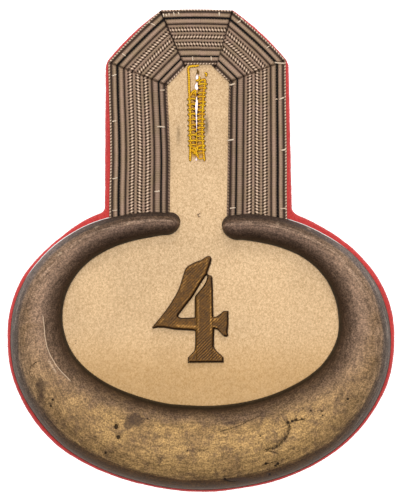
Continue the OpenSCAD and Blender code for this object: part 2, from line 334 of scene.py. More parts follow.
# How each edge, cut or pressed by hand, strays from its plain oval
CLOTH_STRAY = [
    # angle clockwise from the top in degrees, millimetres outward
    (-175, 0.3), (-160, -0.15), (-145, -0.15), (-135, 0.1), (-128, 0.4), (-110, 0.1), (-100, 0.2),
    (-90, 0.0), (-72, 0.3), (-55, -0.2), (-45, 0.15), (-35, 0.0), (35, 0.0), (50, -0.3), (65, -0.2),
    (80, 0.1), (90, 0.2), (105, 0.4), (115, 0.1), (145, 0.1), (165, 0.1), (175, 0.4),
]
EDGE_STRAY = [
    (-180, 0.2), (-170, 0.06), (-155, -0.24), (-140, -0.06), (-130, 0.2), (-115, 0.0), (-100, 0.34),
    (-85, -0.04), (-75, -0.3), (-65, -0.22), (-58, 0.1), (-40, 0.14), (-35, 0.3), (-30, 0.55),
    (-25, 0.76), (-20, 0.78), (-15, 0.3), (-11, -0.1), (11, -0.9), (13, -0.6), (16, -0.15),
    (20, 0.4), (25, 0.75), (35, 1.0), (43, 0.78), (50, 0.38), (60, 0.1), (70, -0.44), (80, -0.5),
    (90, 0.02), (100, 0.32), (130, 0.32), (150, 0.12), (160, 0.08),
]
OPENING_STRAY = [
    (-180, -0.08), (-170, -0.2), (-155, -0.04), (-130, -0.34), (-110, -0.06), (-100, 0.12),
    (-90, 0.0), (-80, 0.25), (-55, 0.48), (-40, 0.1), (-30, -0.12), (-20, 0.0), (-14, -0.3),
    (0, -0.5), (14, -0.5), (24, 0.0), (50, 0.05), (72, -0.26), (82, 0.0), (90, 0.44),
    (104, 0.72), (120, 0.22), (150, 0.04),
]


def strayed(points, table, fullness=0.0):
    """Points moved away from the bowl's middle, as a table says and more at the upper left."""
    away = points - np.array([0, BOWL_Y])
    turn = np.degrees(np.arctan2(away[..., 0], away[..., 1]))
    by = np.interp(turn, *zip(*table), period=360)
    by += fullness * bell((turn - FULL_ANGLE) / FULL_SPREAD)
    return points + unit(away) * by[..., None]


def bowl_at(angle):
    return strayed(BOWL.at(angle), CLOTH_STRAY, CLOTH_FULLNESS)


def bend(start, corner, end):
    """A curve that leaves one point towards a corner and ends at another."""
    share = np.linspace(0, 1, 9)[:, None]
    start, corner, end = (np.array(p, float) for p in (start, corner, end))
    return mix(mix(start, corner, share), mix(corner, end, share), share)


def strap_half(side):
    """One side of the base cloth's strap, from the head down to just past the neck."""
    head = np.array([STRAP_SHIFT + side * HEAD_W / 2, HEAD_Y])
    shoulder = np.array([STRAP_SHIFT + side * SHOULDER_W / 2, HEAD_Y - SHOULDER_DROP])
    slope = unit(shoulder - head)
    outward = np.array([-slope[1], slope[0]]) * side
    slope_end = shoulder - slope * SHOULDER_ROUND
    neck_angle = BOWL.angle_at(STRAP_SHIFT + side * STRAP_W / 2)
    neck_x = STRAP_SHIFT + side * STRAP_W / 2 + (RIGHT_NECK_SPREAD if side > 0 else 0)
    neck = np.array([neck_x, bowl_at(neck_angle)[1]])
    return np.vstack([
        bend(head, (head + shoulder) / 2 + outward * 2 * SLOPE_BULGE, slope_end),
        bend(slope_end, shoulder, shoulder - [0, SHOULDER_ROUND])[1:],
        bend(neck + [0, NECK_ROUND], neck, bowl_at(neck_angle + side * NECK_TURN)),
    ])


def cloth_outline(step):
    """The base cloth's outline at even steps, clockwise."""
    start = BOWL.angle_at(STRAP_SHIFT + STRAP_W / 2) + BOWL_TURN
    end = 2 * math.pi + BOWL.angle_at(STRAP_SHIFT - STRAP_W / 2) - BOWL_TURN
    bowl = bowl_at(np.linspace(start, end, 240))
    return spaced(np.vstack([strap_half(1), bowl, strap_half(-1)[::-1]]), step, closed=True)


def outward_of(outline):
    """Unit vectors that point out of a closed clockwise outline."""
    along = unit(np.roll(outline, -1, axis=0) - np.roll(outline, 1, axis=0))
    return np.stack([-along[:, 1], along[:, 0]], axis=1)


# The buttonhole's cut: each lobe gapes about a place on it, and the rest is closed.
CUT_TOP, CUT_BOTTOM = 73.5, 161.0
CUT_LOBES = [
    # middle, half width, reach up, reach down, in pixels of the photograph
    (77.4, 1.3, 2.2, 2.4),
    (86.4, 1.8, 3.4, 3.6),
    (102.5, 1.4, 6.2, 13.0),
    (112.0, 0.7, 5.0, 22.0),
    (159.4, 0.9, 1.0, 1.3),
]
CUT_WAY = [
    # y, x of the cut's middle, in pixels of the photograph
    (73.5, 197.1), (80.0, 196.9), (88.0, 196.7), (97.0, 197.1), (103.0, 196.5), (112.0, 196.3),
    (122.0, 196.6), (134.0, 196.6), (161.0, 196.2),
]
CUT_CLOSED = 0.12


def cut_half_width(y):
    """Half the cut's gape and the x of its middle, in pixels."""
    width = np.full(y.shape, CUT_CLOSED)
    for middle_y, half, up, down in CUT_LOBES:
        reach = np.where(y < middle_y, up, down)
        lobe = np.clip(1 - ((y - middle_y) / reach) ** 2, 0, 1)
        width = np.maximum(width, half * lobe ** np.where(y < middle_y, 0.5, 0.8))
    return width, np.interp(y, *zip(*CUT_WAY))


def cut_outline(wider=0.0):
    """The cut's outline, clockwise, in millimetres."""
    y = np.linspace(CUT_TOP, CUT_BOTTOM, 90)
    width, middle = cut_half_width(y)
    end = np.clip(np.minimum(y - CUT_TOP, CUT_BOTTOM - y) * 2, 0.02, 1)
    half = (width + wider / PIXEL) * end
    right = seen_line(zip(middle + half, y))
    left = seen_line(zip(middle - half, y))
    return np.vstack([right, left[::-1]])


# Finishes

def paint(red, green, blue):
    """A colour as the eye sees it, 0 to 255, as the shader's own."""
    return tuple(((c / 255 + 0.055) / 1.055) ** 2.4 if c > 10.3 else c / 255 / 12.92
                 for c in (red, green, blue)) + (1.0,)


class Wire:
    """A socket of a finish, on which sums of values are written as Python."""

    def __init__(self, finish, socket):
        self.finish, self.socket = finish, socket

    def __add__(self, other):
        return self.finish.sum_of("ADD", self, other)

    def __sub__(self, other):
        return self.finish.sum_of("SUBTRACT", self, other)

    def __rsub__(self, other):
        return self.finish.sum_of("SUBTRACT", other, self)

    def __mul__(self, other):
        return self.finish.sum_of("MULTIPLY", self, other)

    def __truediv__(self, other):
        return self.finish.sum_of("DIVIDE", self, other)

    def __abs__(self):
        return self.finish.sum_of("ABSOLUTE", self)

    def least(self, other):
        return self.finish.sum_of("MINIMUM", self, other)

    def most(self, other):
        return self.finish.sum_of("MAXIMUM", self, other)

    __radd__ = __add__
    __rmul__ = __mul__


class Finish:
    """A material while it is mixed, coat by coat: its nodes, its shader and its colour so far."""

    def __init__(self, name, **sockets):
        self.material = bpy.data.materials.new(name)
        self.material.use_nodes = True
        self.tree = self.material.node_tree
        self.shader = self.tree.nodes["Principled BSDF"]
        for key, value in sockets.items():
            key = key.replace("_", " ").title().replace("Ior", "IOR")
            self.shader.inputs[key].default_value = value
        self.at = self.node("TexCoord", {}, {}, "Object")
        self.colour = None

    def node(self, kind, settings, sockets, output=0):
        made = self.tree.nodes.new("ShaderNode" + kind)
        for key, value in settings.items():
            setattr(made, key, value)
        for key, value in sockets.items():
            self.feed(made.inputs[key], value)
        return Wire(self, made.outputs[output])

    def feed(self, socket, value):
        if isinstance(value, Wire):
            self.tree.links.new(value.socket, socket)
        else:
            socket.default_value = value

    def set(self, key, value):
        self.feed(self.shader.inputs[key], value)

    def value(self, name):
        return self.node("Attribute", {"attribute_name": name}, {}, "Fac")

    def vector(self, name):
        return self.node("Attribute", {"attribute_name": name}, {}, "Vector")

    def stretched(self, vector, x, y):
        return self.node("VectorMath", {"operation": "MULTIPLY"}, {0: vector, 1: (x, y, 1.0)})

    def noise(self, size, detail=2.0, rough=0.5, twist=0.0, at=None):
        """Noise from 0 to 1, with features of about a size in millimetres."""
        return self.node("TexNoise", {}, {"Vector": at or self.at, "Scale": 1 / (size * MM),
                                          "Detail": detail, "Roughness": rough,
                                          "Distortion": twist}, "Fac")

    def sum_of(self, operation, *values):
        return self.node("Math", {"operation": operation}, dict(enumerate(values)))

    def cells(self, size):
        """Distance to the nearest of many scattered points, in steps of a size in millimetres."""
        return self.node("TexVoronoi", {}, {"Vector": self.at, "Scale": 1 / (size * MM)},
                         "Distance")

    def step(self, value, low, high, start=0.0, end=1.0):
        """A smooth step of a value, from start below low to end above high."""
        return self.node("MapRange", {"interpolation_type": "SMOOTHSTEP"},
                         {"Value": value, "From Min": low, "From Max": high,
                          "To Min": start, "To Max": end})

    def blend(self, mask, first, second, mode="MIX"):
        """Two colours mixed by a mask."""
        return self.node("Mix", {"data_type": "RGBA", "blend_type": mode},
                         {0: mask, 6: first, 7: second}, 2)

    def ground(self, mask, first, second):
        """Starts the colour, as two paints mixed by a mask."""
        self.colour = self.blend(mask, paint(*first), paint(*second))

    def coat(self, mask, red, green, blue):
        """Lays a paint over the colour where a mask is 1."""
        self.colour = self.blend(mask, self.colour, paint(red, green, blue))

    def shade(self, amount):
        """Makes the colour darker or lighter by a value round 1."""
        grey = self.node("CombineColor", {}, {0: amount, 1: amount, 2: amount})
        self.colour = self.blend(1.0, self.colour, grey, "MULTIPLY")

    def bump(self, height, distance, strength):
        """Bumps of a height from 0 to 1, as high as a distance in millimetres."""
        normal = self.node("Bump", {}, {"Height": height, "Distance": distance * MM,
                                        "Strength": strength}, "Normal")
        self.set("Normal", normal)

    def finished(self):
        self.set("Base Color", self.colour)
        return self.material


FIBRE_SIZE = 0.5


def felt_finish(name, light, dark, fleck):
    """Milled wool: a matt nap of fine fibres, with soft worn patches and a few flecks."""
    made = Finish(name, roughness=0.95, sheen_weight=0.25, sheen_roughness=0.5)
    fibres = made.noise(FIBRE_SIZE, 4.0, 0.7, 0.4, made.stretched(made.at, 1.0, 0.85))
    fine = made.noise(FIBRE_SIZE * 0.35, 2.0, 0.6)
    made.ground(made.step(fibres * 0.6 + fine * 0.4, 0.36, 0.64), dark, light)
    made.shade(made.step(made.noise(16.0, 3.0), 0.3, 0.7, 0.93, 1.04))
    specks = made.step(made.cells(FIBRE_SIZE * 6), 0.04, 0.09, 0.55, 0.0)
    made.coat(specks * made.step(fine, 0.45, 0.6), *fleck)
    made.bump(fibres * 0.7 + fine * 0.5, FIBRE_SIZE * 0.35, 0.8)
    return made


def red_cloth_finish():
    return felt_finish("red_wool", (208, 64, 59), (176, 38, 38), (120, 30, 28)).finished()


def cream_cloth_finish():
    made = felt_finish("cream_wool", (242, 207, 162), (188, 152, 108), (140, 105, 70))
    made.coat(made.value("aged"), 203, 146, 52)
    uneven = made.step(made.noise(2.2, 4.0, 0.65), 0.25, 0.75, 0.7, 1.15)
    made.coat((made.value("soil") * uneven).least(1.0), 92, 72, 46)
    return made.finished()


def lace_finish():
    """Tarnished silver thread, woven over dark silk."""
    made = Finish("tarnished_lace", specular_ior_level=0.25)
    tone, silk = made.value("tone"), made.value("silk")
    fine = made.noise(0.25, 2.0, 0.6)
    made.ground(made.step(made.noise(5.0, 4.0, 0.6), 0.3, 0.7), (152, 123, 104), (142, 118, 92))
    # Low tone paints shade in the weave's gaps and grooves, and high tone paints highlights on its lumps
    # and beads.
    made.coat(made.step(tone, 0.0, 0.5, 1.0, 0.0), 36, 18, 8)
    made.coat(made.step(tone, 0.62, 1.0), 226, 198, 172)
    made.shade(made.step(fine, 0.2, 0.8, 0.82, 1.15))
    made.coat(silk, 8, 6, 5)
    made.set("Metallic", made.step(silk, 0.2, 0.8, 0.3, 0.0))
    made.set("Roughness", made.step(silk, 0.2, 0.8, 0.5, 0.95))
    made.bump(fine, 0.03, 0.6)
    return made.finished()


def tack_finish():
    """Pale linen thread that tacks the lace down."""
    made = Finish("tack_thread", roughness=0.75)
    made.ground(made.step(made.noise(0.8, 3.0, 0.6), 0.3, 0.7), (214, 186, 158), (238, 218, 192))
    # Painted shade between the plies
    made.shade(made.step(made.value("ply"), 0.0, 0.8, 0.6, 1.0))
    made.bump(made.noise(0.12), 0.03, 0.5)
    return made.finished()


def silk_finish():
    """Golden yellow buttonhole twist, with painted shade between its plies and at a thread's sides."""
    made = Finish("gold_twist", roughness=0.5, sheen_weight=0.05, specular_ior_level=0.25)
    strands = made.noise(0.14, 2.0, 0.6)
    made.ground(made.step(made.noise(1.2, 3.0, 0.6), 0.35, 0.65), (248, 200, 16), (232, 166, 6))
    made.coat(made.step(made.value("ply"), 0.05, 0.6, 0.8, 0.0), 112, 58, 4)
    made.coat(made.step(made.value("edge"), 0.45, 0.85, 0.0, 0.95), 112, 58, 4)
    # Dark red-brown: real on the frayed threads and closing cord, painted shadow on the hooks and where
    # stitches enter the cloth
    made.coat(made.value("tooth") * 0.97, 48, 8, 6)
    made.shade(made.step(strands, 0.2, 0.8, 0.85, 1.1))
    made.bump(strands, 0.04, 0.7)
    return made.finished()


def fleck_finish():
    made = Finish("fleck_thread", roughness=0.8)
    made.ground(made.step(made.noise(0.4), 0.3, 0.7), (96, 72, 52), (132, 104, 78))
    return made.finished()


def crescent_finish():
    """Gilt brass gone brown and grey, with painted highlights on its ridges and rim, and grime with
    painted shade on its slopes and in the folds.
    """
    made = Finish("aged_gilt_brass", specular_ior_level=0.12)
    arch, front = made.value("arch"), made.value("front")
    streaks = made.noise(0.8, 4.0, 0.65, at=made.stretched(made.vector("sweep"), 0.12, 1.0))
    clouds = made.noise(9.0, 5.0, 0.62, 0.5)
    blotches = made.noise(3.0, 4.0, 0.65, 0.3)
    mottle = made.noise(1.1, 3.0, 0.65)
    grain = made.noise(0.45, 2.0, 0.6)

    # The worn crown is brown on the arms, paler at the sides and khaki at the front.
    made.ground(made.step(front, 0.03, 0.24), (92, 71, 56), (146, 117, 92))
    made.coat(made.step(front, 0.45, 0.95), 158, 125, 79)
    made.coat(made.step(clouds, 0.42, 0.6, 0.0, 0.6) * made.step(front, 0.2, 0.6, 0.2, 1.0),
              118, 91, 60)
    made.coat(made.step(blotches, 0.48, 0.66, 0.0, 0.6), 96, 74, 56)
    crown = made.colour
    # The darker band below it, outside and over the top: painted shade on the steep outer slope
    made.ground(made.step(front, 0.04, 0.22), (70, 55, 45), (104, 90, 82))
    made.coat(made.step(front, 0.28, 0.5), 88, 74, 64)
    made.coat(made.step(front, 0.5, 1.0), 70, 47, 24)
    outer = made.step(arch + (streaks - 0.5) * 0.08, 0.24, 0.31, 1.0, 0.0)
    above = made.step(arch + (clouds - 0.5) * 0.1, 0.28, 0.39, 0.25, 0.0)
    made.colour = made.blend(outer.most(above), crown, made.colour)
    # Its inner side goes from mauve to dark brown, and to black at the foot: tarnish and grime with
    # painted shade on the slope and a painted contact shadow at the foot.
    swelled = front * front
    start = front * 0.1 + swelled * 0.19 + 0.38
    fall = (arch + (clouds - 0.5) * 0.08 - start) / (0.46 - swelled * swelled * 0.25)
    made.coat(made.step(fall, -0.25, 0.3, 0.0, 0.55), 112, 89, 76)
    made.coat(made.step(fall, 0.0, 1.0, 0.0, 0.95), 43, 28, 17)
    made.coat(made.step(arch, 0.83, 0.9) * 0.95, 12, 7, 3)
    glint = made.step(abs(arch - 0.17), 0.01, 0.045, 1.0, 0.0)
    glint = glint * made.step(streaks, 0.42, 0.6) * made.step(front, 0.6, 0.95, 0.5, 0.0)
    glint = glint * made.step(front, 0.2, 0.4) * made.step(clouds, 0.42, 0.58, 0.2, 1.0)
    made.coat(glint, 142, 128, 116)
    # A thin painted highlight runs along the top of each arm.
    highlight_and_wear = made.step(abs(arch + (clouds - 0.5) * 0.1 - 0.4), 0.01, 0.07, 0.5, 0.0)
    highlight_and_wear = highlight_and_wear * made.step(streaks, 0.36, 0.6) * made.step(front, 0.25, 0.45, 1.0, 0.0)
    made.coat(highlight_and_wear, 168, 140, 118)
    made.shade(made.step(streaks, 0.3, 0.7, 0.76, 1.24))
    made.shade(made.step(mottle, 0.34, 0.66, 0.8, 1.2))
    made.shade(made.step(grain, 0.36, 0.64, 0.64, 1.36))

    # Corrosion: dark specks, stains, holes and cracks
    specks = made.step(made.cells(1.4), 0.07, 0.14, 1.0, 0.0) * made.step(blotches, 0.5, 0.58)
    spoiled = made.value("stain") + (blotches - 0.5) * 0.5 + (mottle - 0.5) * 0.7
    made.coat(made.step(spoiled, 0.3, 0.6) * 0.7, 58, 43, 36)
    ragged = (grain - 0.5) * 7.0 + (mottle - 0.5) * 6.0
    cracks = abs(made.value("gap") + ragged) + (blotches - 0.5) * 1.2
    broken = made.step(grain, 0.4, 0.52, 0.25, 1.0)
    cracks = made.step(cracks, 0.6, 1.2, 1.0, 0.0) * made.value("lined") * broken
    holes = made.step(made.value("hole") + ragged * 0.012, -0.06, 0.1, 1.0, 0.0)
    hollow = holes.most(cracks).most(specks * 0.8)
    made.coat(hollow * 0.9, 24, 14, 7)

    # Painted highlights: along the crease's ridge and beside it, with a few worn specks, and on the rim
    # of the shoulders
    fold = abs(made.value("fold") + (mottle - 0.5) * 0.12)
    crease = made.step(fold, 0.04, 0.16, 0.75, 0.0) * made.value("folded")
    highlit_and_rubbed = crease.most(made.value("highlight_and_wear") * made.step(grain, 0.3, 0.6, 0.5, 1.0))
    made.coat(highlit_and_rubbed, 214, 186, 156)
    made.coat(made.value("rim"), 236, 234, 230)
    made.set("Metallic", made.step(arch, 0.24, 0.4, 0.05, 0.3))
    made.set("Roughness", made.step(mottle + outer * 0.3, 0.3, 0.9, 0.48, 0.68))
    made.bump(grain * 0.25 + mottle * 0.5 + streaks * 0.3 - hollow * 1.2, 0.07, 0.7)
    return made.finished()


HATCH_PITCH = 1.0


def numeral_finish():
    """Cast brass, dull gold brown, hatched, with painted highlights along its bevelled edges and painted
    shade on its sides.
    """
    made = Finish("cast_brass", metallic=0.2, roughness=0.5, specular_ior_level=0.15)
    face = made.value("face")
    mottle = made.noise(1.2, 4.0, 0.65)
    grain = made.noise(0.3, 2.0, 0.6)
    slant = made.node("VectorMath", {"operation": "DOT_PRODUCT"},
                      {0: made.at, 1: (1 / MM, -1 / MM, 0.0)}, 1)
    hatch = made.sum_of("SINE", (slant + mottle * 0.8) * (2 * math.pi / HATCH_PITCH))
    patchy = made.step(made.noise(4.0), 0.4, 0.6, 0.12, 0.6).most(made.value("cut"))
    made.ground(made.step(mottle, 0.35, 0.65), (97, 63, 17), (80, 53, 19))
    made.shade(hatch * patchy * face * 0.8 + 1.0)
    # Painted highlights along the bevelled edges
    shine = made.value("shine") * made.step(mottle, 0.32, 0.62, 0.25, 1.0)
    made.coat(shine * made.step(hatch, -0.7, 0.5, 0.25, 1.1), 186, 134, 66)
    # Painted shade on the sloping sides and walls
    made.coat(made.value("side") * 0.92, 34, 17, 5)
    made.shade(made.step(grain, 0.36, 0.64, 0.6, 1.4))
    made.bump(grain * 0.4 + mottle * 0.4 + hatch * face * 0.25, 0.05, 0.7)
    return made.finished()


# The two cloths

# How far round the cut the finer mesh reaches
ROUND_CUT = np.array([5.4, 1.6])


def rings_of(outline, rows, way):
    """An outline at each row's height, moved out by the row's reach, or in where way is -1."""
    outward = outward_of(outline) * way
    return [np.column_stack([outline + outward * reach, np.full(len(outline), z)])
            for reach, z in rows]


def grid_over(low, high, pitch):
    """Flat points in a square grid between two corners."""
    x, y = (np.arange(start, end, pitch) for start, end in zip(low, high))
    return np.stack(np.meshgrid(x, y), axis=-1).reshape(-1, 2)


def cloth_solid(outline, cut, edge, cut_edge, pitch, lift, finer=0.0):
    """A flat cloth with rounded edges and a cut through it.

    Each edge gives rows of how far the surface lies inside the outline, or outside the
    cut, and its height, from the top's edge to the underside's. Round the cut the mesh
    can have a finer pitch."""
    rings = rings_of(outline, edge, -1)
    cut_rings = rings_of(cut, cut_edge, 1)
    grid = grid_over(outline.min(axis=0), outline.max(axis=0), pitch)
    spacing = np.full(len(grid), pitch)
    if finer:
        low, high = cut.min(axis=0) - ROUND_CUT, cut.max(axis=0) + ROUND_CUT
        fine = grid_over(low, high, finer)
        grid = grid[((grid < low) | (grid > high)).any(axis=1)]
        spacing = np.concatenate([np.full(len(grid), pitch), np.full(len(fine), finer)])
        grid = np.vstack([grid, fine])
    top_edge, cut_top = rings[0][:, :2], cut_rings[0][:, :2]
    for line, wanted in ((top_edge, True), (cut, False)):
        kept = distance_to(grid, looped(line)) > spacing * 0.6
        kept &= inside(grid, line) == wanted
        grid, spacing = grid[kept], spacing[kept]
    flat = np.vstack([top_edge, cut_top, grid])
    outer_count, cut_count = len(outline), len(cut)
    edges = [(i, (i + 1) % outer_count) for i in range(outer_count)]
    edges += [(outer_count + i, outer_count + (i + 1) % cut_count) for i in range(cut_count)]
    made = delaunay_2d_cdt([Vector(p) for p in flat.tolist()], edges, [], 1, 1e-7)
    flat = np.array([p[:] for p in made[0]])
    triangles = np.array([face for face in made[2] if len(face) == 3])
    triangles = triangles[~inside(flat[triangles].mean(axis=1), cut_top)]
    corner = flat[triangles]
    turn = np.cross(corner[:, 1] - corner[:, 0], corner[:, 2] - corner[:, 0])
    triangles[turn < 0] = triangles[turn < 0][:, ::-1]

    # The top, the underside with its own edge, and the rings between them
    count = len(flat)
    border = outer_count + cut_count
    top = np.column_stack([flat, np.full(count, edge[0][1])])
    under = np.column_stack([flat, np.full(count, edge[-1][1])])
    under[:outer_count] = rings[-1]
    under[outer_count:border] = cut_rings[-1]
    points = [top, under] + rings[1:-1] + cut_rings[1:-1]
    faces = triangles.tolist() + (triangles[:, ::-1] + count).tolist()

    first, middle = 0, 2 * count
    for rows, number, turn in ((edge, outer_count, 1), (cut_edge, cut_count, -1)):
        after = middle + (len(rows) - 2) * number
        starts = [first, *range(middle, after, number), count + first]
        index = np.arange(number)
        following = (index + 1) % number
        for upper, lower in zip(starts[:-1], starts[1:]):
            quads = np.stack([upper + index, upper + following,
                              lower + following, lower + index], axis=1)
            faces += quads[:, ::turn].tolist()
        first, middle = number, after
    points = np.vstack(points)
    points[:, 2] += lift(points)
    return points, faces


def inside(points, outline):
    """Which flat points lie inside a closed outline."""
    x, y = points[:, 0], points[:, 1]
    found = np.zeros(len(points), bool)
    for (x0, y0), (x1, y1) in zip(outline, np.roll(outline, -1, axis=0)):
        if y0 != y1:
            crosses = (y0 > y) != (y1 > y)
            found ^= crosses & (x < (x1 - x0) * (y - y0) / (y1 - y0) + x0)
    return found


# How the base cloth is turned over the edge of its stiffening
BASE_EDGE = [
    # inset, height
    (3.15, 2.42), (3.1, 3.4), (2.8, 3.64), (1.4, 3.7), (0.75, 3.6), (0.3, 3.3), (0.05, 2.75),
    (-0.02, 1.8), (0.02, 0.9), (0.18, 0.3), (0.5, 0.02),
]


def wavy_edge(outline, seed):
    """An outline cut by hand: it strays a little."""
    stray = 0.04 * soft_noise(outline, 5.0, seed) + 0.05 * soft_noise(outline, 1.4, seed + 1)
    return outline + outward_of(outline) * stray[:, None]


def lay_sheet(piece, outline, **said):
    """Works out how large a sheet is that lies flat, from its outline, and keeps nothing."""
    size = outline.max(axis=0) - outline.min(axis=0)
    float(size[0] * MM)
    float(size[1] * MM)


def make_base_cloth(finish):
    outline = wavy_edge(cloth_outline(0.6), 3)
    points, faces = cloth_solid(
        outline, cut_outline(0.25), BASE_EDGE,
        [(0.25, BASE_TOP), (0.0, BASE_TOP - 0.3), (0.0, 0.4), (0.25, 0.02)], 2.4,
        lambda p: np.where(p[:, 2] > 3.0, 0.08 * soft_noise(p, 4.0, 8), 0.0))
    base = make_piece("base_cloth_felt", points, faces, finish, "base_cloth", ["base_cloth"])
    lay_sheet(base, outline)
    make_nap(outline, finish)


NAP_HAIRS = 5200
# A hair's thickness at its root and at its middle, and how far its root lies in the cloth
HAIR_RADII = (0.026, 0.018)
HAIR_ROOT = 0.06


def make_nap(outline, finish):
    """Short wool fibres that stand out of the base cloth's turned edge."""
    chance = np.random.default_rng(21)
    rows = np.array(BASE_EDGE[3:])
    at = chance.integers(0, len(outline), NAP_HAIRS)
    row = chance.uniform(0, len(rows) - 1.01, NAP_HAIRS)
    inset = np.interp(row, np.arange(len(rows)), rows[:, 0])
    height = np.interp(row, np.arange(len(rows)), rows[:, 1])
    outward = outward_of(outline)[at]
    along = np.stack([outward[:, 1], -outward[:, 0]], axis=1)
    slide = chance.uniform(-0.3, 0.3, NAP_HAIRS)[:, None]
    root = np.column_stack([outline[at] - outward * inset[:, None] + along * slide, height])
    lean = chance.normal(0, 0.8, (NAP_HAIRS, 2))
    tilt = mix(1.0, -0.25, np.clip((3.7 - height) / 3.2, 0, 1))
    direction = unit(np.column_stack([outward * 0.8 + along * lean[:, :1],
                                      tilt + lean[:, 1] * 0.4]))
    length = chance.uniform(0.15, 0.5, NAP_HAIRS)[:, None]
    sag = chance.normal(0, 0.25, (NAP_HAIRS, 3)) * length
    across = np.column_stack([along, np.zeros(NAP_HAIRS)])
    over = np.cross(direction, across)
    middle = root + direction * length * 0.55 + sag * 0.4
    tip = root + direction * length + sag
    ring = []
    for centre, radius in zip((root - direction * HAIR_ROOT, middle), HAIR_RADII):
        for turn in (0, 2 * math.pi / 3, 4 * math.pi / 3):
            ring.append(centre + across * math.cos(turn) * radius + over * math.sin(turn) * radius)
    points = np.stack(ring + [tip], axis=1)
    points[..., 2] = np.maximum(points[..., 2], 0.02)
    one = [[0, 1, 4, 3], [1, 2, 5, 4], [2, 0, 3, 5], [3, 4, 6], [4, 5, 6], [5, 3, 6], [0, 2, 1]]
    faces = [[i + 7 * hair for i in face] for hair in range(NAP_HAIRS) for face in one]
    make_piece("base_cloth_nap", points.reshape(-1, 3), faces, finish, "base_cloth")


# Soiled places on the field cloth
SOIL = [
    # x, y, half width, half height, strength, in pixels of the photograph
    (178.4, 135.0, 1.8, 9.0, 0.55),
    (206.6, 126.0, 1.7, 8.5, 0.95),
    (197.8, 71.5, 1.3, 2.6, 0.7),
    (157.0, 357.0, 10.0, 6.0, 0.10),
    (172.0, 374.0, 12.0, 5.0, 0.06),
]


def field_soil(points):
    """How soiled the field cloth is: in patches, towards its lower edge and a little above."""
    soil = 0.17 * smooth_step(-points[:, 1], 28, 43) + 0.02 * smooth_step(points[:, 1], 0, 20)
    return np.maximum(soil, spots_on(points, SOIL))


# The cloth inside the buttonhole's stitches: its middle, its top at the left and at the right,
# and its foot, in pixels of the photograph
STAINED_MIDDLE = 196.8
STAINED_TOPS = (92, 79)
STAINED_FOOT = 159


def field_age(points):
    """How yellow the field cloth has gone, most of all low in its bowl and under the silk."""
    across, down = (points[:, :2] / [PIXEL, -PIXEL] + PHOTO_MIDDLE).T
    age = 0.06 * smooth_step(-points[:, 1], 0, 20) + 0.32 * smooth_step(-points[:, 1], 22, 42)
    aside = across - STAINED_MIDDLE
    top = np.where(aside > 0, STAINED_TOPS[1], STAINED_TOPS[0])
    stain = 1 - smooth_step(np.abs(aside), 5.4, 7.0)
    stain *= smooth_step(down, top, top + 3.85) * smooth_step(-down, -STAINED_FOOT, 4 - STAINED_FOOT)
    return np.maximum(age, 0.8 * stain)


def make_field_cloth(finish):
    whole = cloth_outline(0.9)
    outline = whole - outward_of(whole) * FIELD_INSET
    points, faces = cloth_solid(
        outline, cut_outline(),
        [(0.2, FIELD_TOP), (0.0, FIELD_TOP - 0.25), (0.0, FIELD_LOW + 0.2), (0.15, FIELD_LOW)],
        [(0.35, FIELD_TOP), (0.1, FIELD_TOP - 0.12), (0.0, FIELD_TOP - 0.45), (0.0, FIELD_LOW)],
        0.85, field_lift, 0.3)
    field = make_piece("field_cloth_felt", points, faces, finish, "field_cloth", ["field_cloth"],
                       soil=field_soil(points), aged=field_age(points))
    lay_sheet(field, outline, rests_on=["base_cloth_felt"])


def field_lift(points):
    """The field cloth lies a little unevenly, and puckers round the buttonhole."""
    near = distance_to(points, seen_line([(197, 75), (196.5, 158)]))
    lift = 0.05 * bell(near / 3.0) * np.sin(points[:, 1] * 2 * math.pi / 3.2)
    lift += 0.07 * soft_noise(points, 14.0, 5) + 0.03 * soft_noise(points, 4.0, 6)
    return np.where(points[:, 2] > 3.0, lift, 0.0)


# The crescent

SECTION_TURN = math.radians(11)
ARM_END_X = TIP_GAP / 2 + (BOWL_Y + CRESCENT_RISE - OPENING_Y - OPENING_UP) / 2
LEFT_END_X = ARM_END_X - 0.25
RIGHT_END_X = ARM_END_X + RIGHT_ARM_SPREAD / 5
RINGS = 620
CAP_RINGS = 22
ARCH_POINTS = 96
UNDER_POINTS = 10
LIP = 0.2
# The folded rim at the outer foot: how far out of the foot, and how high over it
LIP_ROWS = [(-0.9, 0.0), (0.08, -0.02), (0.17, 0.03), (0.2, 0.11), (0.16, 0.19), (0.06, 0.22)]


def section_ends(share):
    """The outer and the inner edge of the crescent at shares of the way round it."""
    turn = 2 * math.pi
    outer = mix(CRESCENT_EDGE.angle_at(RIGHT_END_X), turn + CRESCENT_EDGE.angle_at(-LEFT_END_X), share)
    plain = mix(OPENING_EDGE.angle_at(RIGHT_END_X), turn + OPENING_EDGE.angle_at(-LEFT_END_X), share)
    inner = plain + SECTION_TURN * np.sin(plain)
    outer_at, inner_at = CRESCENT_EDGE.at(outer), OPENING_EDGE.at(inner)
    outer_at[..., 1] -= TIP_DIP * np.where(np.cos(outer) < 0, 0, np.cos(outer) ** 12)
    inner_at[..., 1] -= RIGHT_ARM_SPREAD * np.where(inner < math.pi / 2, np.cos(inner) ** 4, 0)
    inner_at[..., 1] -= LEFT_ARM_SPREAD * np.where(inner > 1.5 * math.pi, np.cos(inner) ** 8, 0)
    return strayed(outer_at, EDGE_STRAY, LEFT_FULLNESS), strayed(inner_at, OPENING_STRAY)


def crescent_top(x):
    """Height of the crescent's outer edge over x, on its two arms."""
    edge = section_ends(np.linspace(0, 1, 900))[0]
    edge = edge[edge[:, 1] > BOWL_Y + 20]
    edge = edge[np.argsort(edge[:, 0])]
    return np.interp(x, edge[:, 0], edge[:, 1])


def swell(share):
    """How far the crescent has swelled: 0 at the tips and 1 at the front."""
    return ((1 - np.cos(2 * math.pi * share)) / 2) ** 0.8


